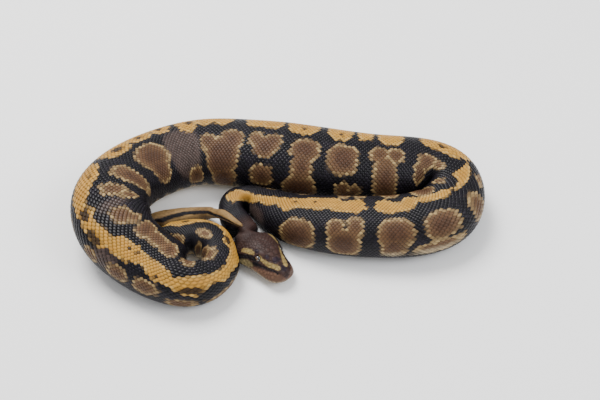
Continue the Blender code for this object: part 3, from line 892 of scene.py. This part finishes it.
def makeFlesh():
    material, net, surface = newFinish("python skin")
    marks = {}
    for name, parts in carriers.items():
        marks.update(zip(parts, net.node("Attribute", {"attribute_name": name}, output=1).parts()))
    edge = net.node("Attribute", {"attribute_name": "leaf"}, output=1).parts()[2]
    tint = net.node("Attribute", {"attribute_name": "tint"}, output=2)
    place = net.node("TexCoord", output=3)
    cloud = net.node("TexNoise", {}, {"Vector": place, **finish["cloud"]})
    grain = net.node("TexNoise", {}, {"Vector": place, **finish["grain"]})
    uneven = grain - 0.5

    def clouded(first, second, level, contrast, tinting):
        return net.mix(finish[first], finish[second], (cloud - level) * contrast + tint * tinting)

    strength, tinting = finish["rimStrength"]
    marks["rim"] = marks["rim"] * (strength + tint * tinting)
    marks["shield"] = marks["shield"] * marks["head"]
    colour = clouded("ground", "groundSheen", *finish["groundCloud"])
    for mark, strength, *look in finish["layers"]:
        layer = finish[look[0]] if len(look) == 1 else clouded(*look)
        colour = net.mix(colour, layer, marks[mark] * strength)
    shade = 1 - edge * edge * finish["edgeShade"] + uneven * finish["grainShade"] + tint * finish["tintShade"]
    grey = net.node("CombineXYZ", {}, {0: shade, 1: shade, 2: shade})
    colour = net.node("VectorMath", {"operation": "MULTIPLY"}, {0: colour, 1: grey})
    # painted shade: near-black in the nostrils, the heat pits and along the mouth line
    colour = net.mix(colour, finish["hollow"], marks["hollow"])
    rough = (finish["roughness"] + uneven * finish["grainRoughness"] + marks["gold"] * finish["goldRoughness"]
             - (1 - marks["blotch"]) * (1 - marks["gold"]) * finish["groundGloss"]
             + marks["head"] * finish["headRoughness"])
    bump = net.node("Bump", {}, {**finish["bump"], "Height": grain})
    for name, value in (("Base Color", colour), ("Roughness", rough), ("Normal", bump)):
        net.tree.links.new(value.socket, surface[name])
    for name, value in finish["surface"].items():
        surface[name].default_value = value
    return material


flesh = makeFlesh()


def makeSkin():
    rows, columns = len(hide.rows), len(hide.shares) - 1
    tips = [hide.points[row, :columns].mean(axis=0) for row in (0, -1)]
    points = np.concatenate((hide.points[:, :columns].reshape(-1, 3), tips))
    ring = np.arange(columns)
    first = np.arange(rows - 1)[:, None] * columns + ring
    after = np.arange(rows - 1)[:, None] * columns + (ring + 1) % columns
    faces = np.stack((first, first + columns, after + columns, after), axis=-1).reshape(-1, 4).tolist()
    snout, tail, last = rows * columns, rows * columns + 1, (rows - 1) * columns
    faces += [(snout, turn, (turn + 1) % columns) for turn in range(columns)]
    faces += [(tail, last + (turn + 1) % columns, last + turn) for turn in range(columns)]
    skin = addMesh("skin", points, faces, flesh)
    distance = np.concatenate((np.repeat(hide.rows, columns), hide.rows[[0, -1]]))
    share = np.concatenate((np.tile(hide.shares[:columns], rows), (0.0, 0.0)))
    # every face is unwrapped on its own side of the belly line, inside one island of the map
    corners = cornerVertices(skin.data)
    sizes = np.array([len(face) for face in faces])
    starts, faceOf = np.cumsum(sizes) - sizes, np.repeat(np.arange(len(faces)), sizes)
    cornerShare, cornerDistance = share[corners], distance[corners]
    highest = np.maximum.reduceat(cornerShare, starts)[faceOf]
    cornerShare = np.where((cornerShare == -1) & (highest > 0.5), 1.0, cornerShare)
    middle = (np.add.reduceat(cornerDistance, starts) / sizes)[faceOf]
    partings = headForm["length"] + flatMap["stripLength"] * np.arange(2)
    island = np.searchsorted(partings, middle, side="right")
    lows, highs = np.append(0, partings)[island], np.append(partings - flatMap["seams"], np.inf)[island]
    addMap(skin.data, unwrap(np.clip(cornerDistance, lows, highs), cornerShare))
    paintMarks(skin.data, distance, share, points)
    addAttribute(skin.data, "leaf", np.tile((0.0, 0.0, skinForm["shade"]), (len(points), 1)))
    addAttribute(skin.data, "tint", np.zeros(len(points)), "FLOAT")
    return skin


skin = makeSkin()
print("skin", len(skin.data.polygons), "faces")

coat = {
    "rowGap": (0.32, 0.026),      # gap between rows of scales: at no width, and per millimetre of width
    "lengthPerGap": 1.62,
    "start": 31.5, "end": 0.9,    # the end is counted from the tail's tip
    "scutes": (0.70, 0.76),       # share where the belly plates begin, on the trunk and on the tail
    "scuteChange": (540, 570),
    "thickness": 0.95,            # share of the skin's depth that a scale stands up
    "halfLength": 0.60, "halfWidth": 0.84,
    "stretch": (0.2, 1.6),        # on tight bends: below the first no scale is laid, none is longer than the second
    "tilt": 0.10, "sway": 0.05,
    "jitter": 0.22,               # how unevenly the marks end, in millimetres
    # one scale: a low dome, rounded towards a point (1 is a diamond, 2 an ellipse), with a crest in front
    "around": 10, "rings": ((0.5, 0.86), (0.83, 0.50), (1.0, -0.15)), "rounding": 1.55, "crest": 0.06,
    "pieces": [(31, 90), (90, 160), (160, 225), (225, 290), (290, 355), (355, 420), (420, 480), (480, 540), (540, 630)],
    "seed": 11,
}


def scuteEdge(distance):
    return float(np.interp(distance, coat["scuteChange"], coat["scutes"]))


def makeScaleShape():
    around, power = coat["around"], coat["rounding"]
    points, leaf = [(coat["crest"], 0.0, 1.0)], [(0.0, 0.0, 0.0)]
    for reach, height in coat["rings"]:
        for turn in range(around):
            angle = 2 * math.pi * turn / around
            cosine, sine = math.cos(angle), math.sin(angle)
            fit = (abs(cosine) ** power + abs(sine) ** power) ** (-1 / power)
            x, y = fit * cosine * reach, fit * sine * reach
            points.append((x, y, height))
            leaf.append((x / 2, y / 2, reach))
    shape = addMesh("scale_shape", np.array(points) / mm, domeFaces(0, around))
    addAttribute(shape.data, "leaf", leaf)
    return shape


def makeScaleTree(name):
    tree = bpy.data.node_groups.new(name, "GeometryNodeTree")
    socket = tree.interface.new_socket
    socket(name="Geometry", in_out="INPUT", socket_type="NodeSocketGeometry")
    for label, kind, value in (("Shape", "NodeSocketObject", None), ("Finish", "NodeSocketMaterial", None),
                               ("Sway", "NodeSocketFloat", coat["sway"]), ("Tilt", "NodeSocketFloat", coat["tilt"]),
                               ("Patch", "NodeSocketFloat", flatMap["patch"]),
                               ("Seed", "NodeSocketInt", coat["seed"])):
        made = socket(name=label, in_out="INPUT", socket_type=kind)
        if value is not None:
            made.default_value = value
    socket(name="Geometry", in_out="OUTPUT", socket_type="NodeSocketGeometry")
    net = Net(tree, "GeometryNode")
    entry = tree.nodes.new("NodeGroupInput")
    given = {output.name: Wire(net, output) for output in entry.outputs if output.name}

    def stored(label):
        return net.node("InputNamedAttribute", {"data_type": "FLOAT_VECTOR"}, {"Name": label})

    lie = net.node("AxesToRotation", {"primary_axis": "Z", "secondary_axis": "X"},
                   {"Primary Axis": stored("up"), "Secondary Axis": stored("along")})
    chance = net.node("RandomValue", {"data_type": "FLOAT"}, {2: -1.0, 3: 1.0, "Seed": given["Seed"]}, 1)
    turn = net.node("CombineXYZ", {}, {1: given["Tilt"] * -1, 2: chance * given["Sway"]})
    spin = net.node("EulerToRotation", {}, {0: turn})
    lie = net.node("RotateRotation", {"rotation_space": "LOCAL"}, {"Rotation": lie, "Rotate By": spin})
    shape = net.node("ObjectInfo", {}, {"Object": given["Shape"]}, 4)
    scales = net.node("InstanceOnPoints", {}, {"Points": given["Geometry"], "Instance": shape,
                                               "Rotation": lie, "Scale": stored("size")})
    solid = net.node("RealizeInstances", {}, {0: scales})
    across = net.node("VectorMath", {"operation": "SCALE"}, {0: stored("leaf"), "Scale": given["Patch"]})
    spot = net.node("VectorMath", {"operation": "ADD"}, {0: stored("root"), 1: across})
    mapped = net.node("StoreNamedAttribute", {"data_type": "FLOAT2", "domain": "CORNER"},
                      {"Geometry": solid, "Name": "OFBake", "Value": spot})
    done = net.node("SetMaterial", {}, {"Geometry": mapped, "Material": given["Finish"]})
    tree.links.new(done.socket, tree.nodes.new("NodeGroupOutput").inputs[0])
    return tree


def scalePlaces():
    # rows of scales offset like brickwork: every column of scales is half a scale behind the last
    places, column, distance = [], 0, coat["start"]
    while distance < spine.length - coat["end"]:
        gap = coat["rowGap"][0] + coat["rowGap"][1] * float(spine.read(spine.width, distance))
        for hand in (1, -1):
            # rows are counted from the middle of the back down each side
            girth = float(hide.halfGirth(distance, hand))
            first = column % 2 * gap if hand == 1 or column % 2 else 2 * gap
            shares = float(backLine(distance)) + hand * (first + np.arange(80) * 2 * gap) / girth
            places += [(distance, share, gap) for share in shares[np.abs(shares) < scuteEdge(distance)]]
        column += 1
        distance += gap * coat["lengthPerGap"] / 2
    return np.array(places)


def makeScales():
    chance = np.random.default_rng(coat["seed"])
    distance, share, gap = scalePlaces().T
    least, most = coat["stretch"]
    kept = hide.at(distance, share)[3] > least
    distance, share, gap = distance[kept], share[kept], gap[kept]
    point, normal, along, stretch = hide.at(distance, share)
    size = np.column_stack((gap * coat["lengthPerGap"] * coat["halfLength"] * np.minimum(stretch, most),
                            gap * coat["halfWidth"],
                            skinDepth(spine.read(spine.width, distance)) * coat["thickness"])) * mm
    root = np.column_stack((unwrap(distance, share), np.zeros(len(distance))))
    tree = makeScaleTree("laid scales")
    sockets = {item.name: item.identifier for item in tree.interface.items_tree if item.in_out == "INPUT"}
    shape = makeScaleShape()
    pieces = []
    for number, (start, end) in enumerate(coat["pieces"], 1):
        chosen = (distance >= start) & (distance < end)
        count = int(chosen.sum())
        piece = addMesh("scales_%d" % number, point[chosen], [])
        for name, values in (("up", normal), ("along", along), ("size", size), ("root", root)):
            addAttribute(piece.data, name, values[chosen])
        addAttribute(piece.data, "tint", chance.uniform(-1, 1, count), "FLOAT")
        jitter = chance.normal(0, coat["jitter"], count)
        paintMarks(piece.data, distance[chosen], share[chosen], point[chosen], jitter)
        modifier = piece.modifiers.new("laid scales", "NODES")
        modifier.node_group = tree
        for name, value in (("Shape", shape), ("Finish", flesh), ("Seed", coat["seed"] + number)):
            modifier[sockets[name]] = value
        pieces.append(settle(piece))
        print(piece.name, count, "scales")
    bpy.data.objects.remove(shape)
    return pieces


def settle(piece):
    # the piece's modifiers become its plain mesh
    graph = bpy.context.evaluated_depsgraph_get()
    solid = bpy.data.meshes.new_from_object(piece.evaluated_get(graph))
    piece.modifiers.clear()
    old, piece.data = piece.data, solid
    bpy.data.meshes.remove(old)
    for name in ("up", "along", "size", "root"):
        if name in solid.attributes:
            solid.attributes.remove(solid.attributes[name])
    return piece


scalePieces = makeScales()

shields = {
    # large shields of the snout and brow: distance back, out from the middle, reach
    "snout": [(1.9, 1.15, 1.25), (4.2, 1.5, 1.5), (6.9, 1.6, 1.5), (6.6, 4.3, 1.4), (9.8, 1.5, 1.6), (9.4, 4.6, 1.4),
              (12.8, 1.5, 1.6), (12.4, 4.4, 1.5), (16.2, 5.5, 2.2), (16.0, 1.6, 1.5), (4.4, 4.0, 1.3)],
    "labials": (2.0, 2.05, 12, 1.1),       # distance back of the first, spacing, number on each lip and side, reach
    "lips": [(1, 0.0, 1.05), (2, -0.5, -1.05)],      # kind, shift back and height of the middles from the mouth line
    "eyeRing": (2.55, 10, 0.8),            # radius, number and reach of the small scales round each eye
    "snoutTip": [(0.1, 0.0, 1.3, 1), (0.9, 1.0, 1.1, 2)],
    "snoutRise": 0.2,
    # the small scales that fill the rest
    "fill": (4.0, 34.0),
    "crownPitch": 1.42, "cheekPitch": 1.30, "chinPitch": 1.60, "columnPitch": 0.86,
    "crownShare": 0.3, "chinDrop": 1.2,    # where the crown and the chin begin
    "napePitch": (0.2, 26, 33),            # how much smaller towards the neck
    "wobble": 0.12,
    # a small scale is laid where the distance to every other, less a share of both reaches and a gap,
    # is more than a share of its pitch
    "room": (0.42, 0.25, 0.42), "eyeRoom": 0.5,
    # how neighbours meet
    "gap": 0.10, "mouthGap": 0.34,
    "eyeOpening": 1.62, "pitOpening": 0.8,      # radius, and share of each pit's radius
    "neighbours": 6, "hollows": 5,         # farther ones don't count
    "leastBorder": (0.15, 0.2),            # towards neighbours and towards hollows
    "most": (2.6, 0.3),                    # greatest reach: times its own, and more
    "corners": 9,                          # more is sharper
    # the dome: rings by their reach, share of the thickness and rise
    "rings": [(0.5, 0.92, 0.0), (0.84, 0.62, 0.0), (1.0, 0.0, -0.06)],
    "around": 16,
    "thickness": 0.20, "thin": (0.55, 0.3),     # small shields are thinner: share at no size, and per millimetre
    "under": 42.0,                         # the skin up to here is what shields are laid on
    "search": (2.5, 6.0),                  # the skin is looked for from this far above, over this length
    "foremost": 0.5,
    "seed": 5,
}


def leftSide(distance):
    # out, height and share of the head's left side from the crown down, and which row is the widest
    half = len(hide.shares) // 2
    _, away, heights = hide.headPlace(hide.points[int(np.searchsorted(hide.rows, distance)), half:], distance)
    return away, heights, hide.shares[half:], int(np.argmax(away))


def shareAtHeight(distance, high):
    # share on the left where the head's side passes this height
    _, heights, shares, widest = leftSide(distance)
    span = slice(0, widest + 1) if high >= heights[widest] else slice(widest, None)
    return float(np.interp(-high, -heights[span], shares[span]))


def shareAtOut(distance, out):
    # share on the left where the crown is this far out from the middle
    away, _, shares, widest = leftSide(distance)
    return float(np.interp(out, away[:widest + 1], shares[:widest + 1]))


def placedShields():
    # rows of distance, share, reach and kind: kinds 1 and 2 are the upper and the lower lip
    left = [(back, shareAtOut(back, out), reach, 0) for back, out, reach in shields["snout"]]
    first, step, count, reach = shields["labials"]
    for number in range(count):
        for kind, shift, stand in shields["lips"]:
            place = first + step * number + shift
            left.append((place, shareAtHeight(place, float(mouthHeight(place)) + stand), reach, kind))
    middle = headForm["eyeBack"]
    eyeHeight = float(hide.headPlace(eyeCentres()[0], middle)[2])
    radius, count, reach = shields["eyeRing"]
    for number in range(count):
        angle = 2 * math.pi * (number + 0.5) / count
        place = middle + radius * math.cos(angle)
        left.append((place, shareAtHeight(place, eyeHeight + radius * math.sin(angle)), reach, 0))
    return left + [(back, -share, reach, kind) for back, share, reach, kind in left] + shields["snoutTip"]


def shieldPitch(back, share):
    high = float(hide.headPlace(hide.at(back, share)[0], back)[2])
    if high < mouthHeight(back) - shields["chinDrop"]:
        pitch = shields["chinPitch"]
    else:
        pitch = shields["crownPitch" if share < shields["crownShare"] else "cheekPitch"]
    less, start, end = shields["napePitch"]
    return pitch * (1 - less * float(smooth(back, start, end)))


def shieldSeeds():
    # the placed shields, and small scales in what they leave free, mirrored left and right
    rows = placedShields()
    middles = [hide.at(back, share)[0] for back, share, _, _ in rows]
    middles[-2] = hide.points[0].mean(axis=0) + (0, 0, shields["snoutRise"])
    chance = np.random.default_rng(shields["seed"])
    eyes, eyeRoom = eyeCentres(), shields["eyeRing"][0] + shields["eyeRoom"]
    nearness, apart, room = shields["room"]
    (back, end), column = shields["fill"], 0
    while back < end:
        girth = float(hide.halfGirth(back, 1))
        share = (0.5 if column % 2 else 0.0) * shields["crownPitch"] / girth
        while share < 1:
            pitch = shieldPitch(back, share)
            wobble = chance.uniform(-shields["wobble"], shields["wobble"], 2) * pitch
            for hand in (1, -1) if share > 0 else (1,):
                place, around = back + wobble[0], (share + wobble[1] / girth * (share > 0)) * hand
                spot = hide.at(place, around)[0]
                clear = min(np.linalg.norm(spot - other) - nearness * (row[2] + pitch / 2) - apart
                            for row, other in zip(rows, middles))
                eyeGap = min(np.linalg.norm(spot - centre) for centre in eyes)
                if clear > pitch * room and eyeGap > eyeRoom:
                    rows.append((place, around, pitch / 2, 0))
                    middles.append(spot)
            share += pitch / girth
        back += pitch * shields["columnPitch"]
        column += 1
    return np.array(rows), np.array(middles)


def nearestPlaces(points, rowCount):
    # distance and share of the nearest corner of the skin's front rows
    columns = len(hide.shares) - 1
    tree = KDTree(rowCount * columns)
    for index, spot in enumerate(hide.points[:rowCount, :columns].reshape(-1, 3)):
        tree.insert(spot, index)
    tree.balance()
    nearest = np.array([tree.find(spot)[1] for spot in points])
    return hide.rows[nearest // columns], hide.shares[nearest % columns]


def headShell(rowCount):
    # the front of the skin, closed at the snout, for shields to be laid on
    count = len(hide.shares) - 1
    points = [Vector(point) for point in hide.points[:rowCount, :count].reshape(-1, 3)]
    faces = [(row * count + turn, (row + 1) * count + turn, (row + 1) * count + (turn + 1) % count,
              row * count + (turn + 1) % count) for row in range(rowCount - 1) for turn in range(count)]
    faces += [(rowCount * count, turn, (turn + 1) % count) for turn in range(count)]
    return BVHTree.FromPolygons(points + [Vector(hide.points[0].mean(axis=0))], faces)


def laidOn(shell, spot, normal, lift):
    above, length = shields["search"]
    ground = shell.ray_cast(Vector(spot + normal * above), Vector(-normal), length)[0]
    if ground is None:
        ground = shell.find_nearest(Vector(spot))[0]
    return np.array(ground) + normal * lift


def shieldFrame(back, share):
    # outward normal and the direction towards the tail; the foremost shield faces forwards
    _, normal, along, _ = hide.at(back, share)
    if back < shields["foremost"]:
        heading = spine.heading[0]
        normal, along = -np.array([math.cos(heading), math.sin(heading), 0.0]), np.array([0, 0, 1.0])
    return normal, along


def shieldBorders(middle, reach, kind, rows, middles, voids):
    # directions towards neighbours and hollows, and how far the shield may reach in each
    leastNear, leastHollow = shields["leastBorder"]
    apart = middles - middle
    length = np.linalg.norm(apart, axis=1)
    near = (length > 1e-6) & (length < shields["neighbours"])
    parting = (length ** 2 + reach ** 2 - rows[:, 2] ** 2) / (2 * np.maximum(length, 1e-6))
    lips = (rows[:, 3] != kind) & (rows[:, 3] > 0) & (kind > 0)
    parting = parting - np.where(lips, shields["mouthGap"], shields["gap"]) / 2
    headings, limits = list(apart[near] / length[near, None]), list(np.maximum(parting[near], leastNear))
    for centre, hollow in voids:
        size = np.linalg.norm(centre - middle)
        if 1e-6 < size < shields["hollows"]:
            headings.append((centre - middle) / size)
            limits.append(max(size - hollow, leastHollow))
    return np.array(headings), np.array(limits)


def makeShields():
    rows, middles = shieldSeeds()
    under = np.searchsorted(hide.rows, shields["under"])
    shell = headShell(under)
    voids = [(centre, shields["eyeOpening"]) for centre in eyeCentres()]
    for back, out, high, radius, _ in headPits():
        voids += [(leaned(spine, back, out * hand, high), radius * shields["pitOpening"]) for hand in (1, -1)]
    angles = np.linspace(0, 2 * math.pi, shields["around"], endpoint=False)
    points, faces, leaf, tints, places = [], [], [], [], []
    chance = np.random.default_rng(shields["seed"])
    for (back, share, reach, kind), middle in zip(rows, middles):
        normal, along = shieldFrame(back, share)
        compass = np.outer(np.cos(angles), along) + np.outer(np.sin(angles), np.cross(normal, along))
        headings, limits = shieldBorders(middle, reach, kind, rows, middles, voids)
        closeness = np.maximum(compass @ headings.T / limits[None], 0)
        closeness = (closeness ** shields["corners"]).sum(axis=1) ** (1 / shields["corners"])
        most = reach * shields["most"][0] + shields["most"][1]
        reaches = 1 / np.maximum(closeness, 1 / most)
        thick = shields["thickness"] * min(1.0, shields["thin"][0] + shields["thin"][1] * float(reaches.mean()))
        start = len(points)
        points.append(laidOn(shell, middle, normal, thick))
        leaf.append((0, 0, 0))
        for part, height, rise in shields["rings"]:
            for direction, out, angle in zip(compass, reaches, angles):
                points.append(laidOn(shell, middle + direction * out * part, normal, height * thick + rise))
                leaf.append((math.cos(angle) * part / 2, math.sin(angle) * part / 2, part))
        faces += domeFaces(start, len(angles))
        tints += [chance.uniform(-1, 1)] * (len(points) - start)
        places += [(back, share)] * (len(points) - start)
    points, places, leaf = np.array(points), np.array(places), np.array(leaf)
    piece = addMesh("head_shields", points, faces, flesh)
    paintMarks(piece.data, *nearestPlaces(points, under), points)
    addAttribute(piece.data, "leaf", leaf)
    addAttribute(piece.data, "tint", tints, "FLOAT")
    spots = unwrap(*places.T) + leaf[:, :2] * flatMap["patch"]
    addMap(piece.data, spots[cornerVertices(piece.data)])
    print("head shields", len(rows))
    return piece


scuteForm = {
    "start": 33.0, "end": 3.0,             # the end is counted from the tail's tip
    "vent": 560.0,                         # from here on the plates are paired
    # length of a plate, times a share at no width and what each millimetre of width adds to it
    "step": (2.75, 0.55, 1 / 90), "tailStep": (1.9, 0.6, 1 / 30),
    "across": 18,
    "tuck": 0.03,                          # how far the plates run under the scales
    "parting": 0.015,
    # the plate from front to back: share of its length, more length, and rise as a share of the skin's depth
    "profile": [(0.0, -0.3, -0.05), (0.3, 0.0, 0.45), (0.75, 0.0, 0.78), (1.0, 0.0, 0.9), (1.0, 0.12, 0.1)],
    "endRise": -0.1,
    "shade": (1.6, 0.8),
}


def plateFaces(start, rows, columns):
    # a closed plate: its top by rows, its underside, and both ends
    faces = [(first, first + 1, first + columns + 1, first + columns) for row in range(rows - 1)
             for first in range(start + row * columns, start + (row + 1) * columns - 1)]
    last = start + (rows - 1) * columns
    faces += [(start + turn, last + turn, last + turn + 1, start + turn + 1) for turn in range(columns - 1)]
    faces.append(tuple(range(start, last + 1, columns)))
    faces.append(tuple(range(last + columns - 1, start, -columns)))
    return faces


def makeScutes():
    # broad plates under the belly, each one over the front of the next; paired under the tail
    points, faces, leaf, places = [], [], [], []
    distance = scuteForm["start"]
    while distance < spine.length - scuteForm["end"]:
        onTail = distance > scuteForm["vent"]
        width = float(spine.read(spine.width, distance))
        length, least, more = scuteForm["tailStep" if onTail else "step"]
        step = length * (least + width * more)
        edge = scuteEdge(distance) - scuteForm["tuck"]
        parting = scuteForm["parting"]
        halves = [(edge, 1 - parting), (1 + parting, 2 - edge)] if onTail else [(edge, 2 - edge)]
        for low, high in halves:
            shares = np.linspace(low, high, scuteForm["across"] // len(halves)) + float(backLine(distance))
            shares, count = (shares + 1) % 2 - 1, len(shares)
            faces += plateFaces(len(points), len(scuteForm["profile"]), count)
            inner = np.minimum(np.arange(count), np.arange(count)[::-1]) > 0
            for part, extra, rise in scuteForm["profile"]:
                run = part * step + extra
                point, normal, _, _ = hide.at(np.full(count, distance + run), shares)
                lift = np.where(inner, rise, scuteForm["endRise"]) * skinDepth(width)
                points += list(point + normal * lift[:, None])
                leaf += [(0.0, 0.0, max(0.0, scuteForm["shade"][0] * run / step - scuteForm["shade"][1]))] * count
                places += [(distance + run, share) for share in shares]
        distance += step
    points, places = np.array(points), np.array(places)
    piece = addMesh("belly_scutes", points, faces, flesh)
    paintMarks(piece.data, *places.T, points)
    addAttribute(piece.data, "leaf", leaf)
    addAttribute(piece.data, "tint", np.zeros(len(points)), "FLOAT")
    addMap(piece.data, unwrap(*places.T)[cornerVertices(piece.data)])
    turnOutward(piece)
    print("belly scutes", len(faces))
    return piece


def turnOutward(piece):
    model = bmesh.new()
    model.from_mesh(piece.data)
    bmesh.ops.recalc_face_normals(model, faces=model.faces)
    model.to_mesh(piece.data)
    model.free()


scalePieces += [makeShields(), makeScutes()]

eyeForm = {
    "around": 40, "rings": 28,
    "pupil": (0.16, 0.62, 1.15, 6),        # half-width and half-height, edge and sharpness
    "iris": tone(58, 40, 30), "irisTop": tone(120, 92, 62),
    "irisFade": (0.1, 1.6), "fleckStrength": 1.4,
    "flecks": {"Scale": 2600.0, "Detail": 3.0},
    "rim": tone(16, 12, 12), "rimEdge": (0.52, 9),
    "black": tone(4, 4, 5),
    "surface": {"Roughness": 0.06, "Coat Weight": 1.0, "Coat Roughness": 0.03},
}


def makeEyeFinish():
    material, net, surface = newFinish("python eye")
    x, y, _ = net.node("Attribute", {"attribute_name": "gaze"}, output=1).parts()
    flecks = net.node("TexNoise", {}, {"Vector": net.node("TexCoord", output=3), **eyeForm["flecks"]})
    wide, tall, edge, sharpness = eyeForm["pupil"]
    slit = (x / wide) * (x / wide) + (y / tall) * (y / tall)
    low, rise = eyeForm["irisFade"]
    colour = net.mix(eyeForm["iris"], eyeForm["irisTop"], (y - low) * rise + (flecks - 0.5) * eyeForm["fleckStrength"])
    colour = net.mix(colour, eyeForm["black"], (edge - slit) * sharpness)
    edge, sharpness = eyeForm["rimEdge"]
    colour = net.mix(colour, eyeForm["rim"], (x * x + y * y - edge) * sharpness)
    net.tree.links.new(colour.socket, surface["Base Color"])
    for name, value in eyeForm["surface"].items():
        surface[name].default_value = value
    return material


eyeFinish = makeEyeFinish()


def makeEye(name):
    low, high = (np.array(corner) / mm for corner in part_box(name))
    centre, radius = (low + high) / 2, (high - low)[2] / 2
    hand = 1 if name == "eye_left" else -1
    # the eye looks out to its side on the leaning head: a point there, one further out and one above
    stand = headForm["leanHeight"] + np.array([0.0, 0.0, 1.0])
    origin, level, above = leaned(spine, headForm["eyeBack"], np.array([0.0, 1.0, 0.0]), stand)
    axis, upright = (level - origin) * hand, above - origin
    forward = np.cross(axis, upright) * hand
    around, rings = eyeForm["around"], eyeForm["rings"]
    points, faces = [], []
    for ring in range(rings + 1):
        polar = math.pi * ring / rings
        for turn in range(around if 0 < ring < rings else 1):
            angle = 2 * math.pi * turn / around
            points.append((math.sin(polar) * math.cos(angle), math.sin(polar) * math.sin(angle), math.cos(polar)))
    last, end = 1 + around * (rings - 2), len(points) - 1
    for turn in range(around):
        faces.append((0, 1 + turn, 1 + (turn + 1) % around))
        faces.append((last + turn, end, last + (turn + 1) % around))
    for first in range(1, last, around):
        for turn in range(around):
            here, after = first + turn, first + (turn + 1) % around
            faces.append((here, here + around, after + around, after))
    local = np.array(points)
    placed = centre + radius * (local[:, :1] * forward + local[:, 1:2] * upright + local[:, 2:] * axis)
    if np.dot(np.cross(forward, upright), axis) < 0:
        faces = [face[::-1] for face in faces]
    eye = addMesh(name + "_ball", placed, faces, eyeFinish)
    addAttribute(eye.data, "gaze", local)
    return eye


eyes = [makeEye("eye_left"), makeEye("eye_right")]
print("eyes", [len(eye.data.polygons) for eye in eyes])

fleshNodes = [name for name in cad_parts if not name.startswith("eye")]
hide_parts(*fleshNodes)
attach(skin, "root")
for piece in scalePieces:
    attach(piece, "root")
for eye, name in zip(eyes, ("eye_left", "eye_right")):
    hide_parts(name)
    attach(eye, "root")

studio = {
    "floorSize": 6.0,
    "floorColour": (0.96, 0.96, 0.965),
    "floorRoughness": 0.7,
    "world": 0.8,
    "lights": [   # place, size, power, colour
        ((-0.45, 0.55, 1.20), 0.7, 30.0, (1.0, 0.99, 0.97)),
        ((0.85, -0.35, 0.95), 0.7, 10.0, (0.96, 0.98, 1.0)),
    ],
    "cameraTarget": (0.010888, 0.018218, 0.0),
    "cameraDistance": 0.760,
    "cameraRise": 48.0,
    "lens": 81.42,
}


def makeStudio():
    size = studio["floorSize"] / 2
    mesh = bpy.data.meshes.new("floor")
    mesh.from_pydata([(-size, -size, 0), (size, -size, 0), (size, size, 0), (-size, size, 0)], [], [(0, 1, 2, 3)])
    floor = bpy.data.objects.new("floor", mesh)
    bpy.context.scene.collection.objects.link(floor)
    paint, _, surface = newFinish("pale floor")
    surface["Base Color"].default_value = (*studio["floorColour"], 1)
    surface["Roughness"].default_value = studio["floorRoughness"]
    mesh.materials.append(paint)
    world = bpy.data.worlds.new("soft room")
    world.use_nodes = True
    light = world.node_tree.nodes["Background"].inputs
    light["Color"].default_value, light["Strength"].default_value = (1, 1, 1, 1), studio["world"]
    bpy.context.scene.world = world
    target = Vector(studio["cameraTarget"])
    for number, (place, width, power, colour) in enumerate(studio["lights"]):
        lamp = bpy.data.lights.new("softbox %d" % (number + 1), "AREA")
        lamp.shape, lamp.size, lamp.energy, lamp.color = "SQUARE", width, power, colour
        box = bpy.data.objects.new(lamp.name, lamp)
        box.location = place
        box.rotation_euler = (Vector(place) - target).to_track_quat("Z", "Y").to_euler()
        bpy.context.scene.collection.objects.link(box)
    rise = math.radians(studio["cameraRise"])
    camera = bpy.data.objects.new("camera", bpy.data.cameras.new("camera"))
    camera.data.lens, camera.data.sensor_width = studio["lens"], 36
    camera.data.clip_start, camera.data.clip_end = 0.01, 20
    camera.location = target + Vector((0, -math.cos(rise), math.sin(rise))) * studio["cameraDistance"]
    camera.rotation_euler = (camera.location - target).to_track_quat("Z", "Y").to_euler()
    bpy.context.scene.collection.objects.link(camera)
    bpy.context.scene.camera = camera
    return floor


makeStudio()
print("studio ready")
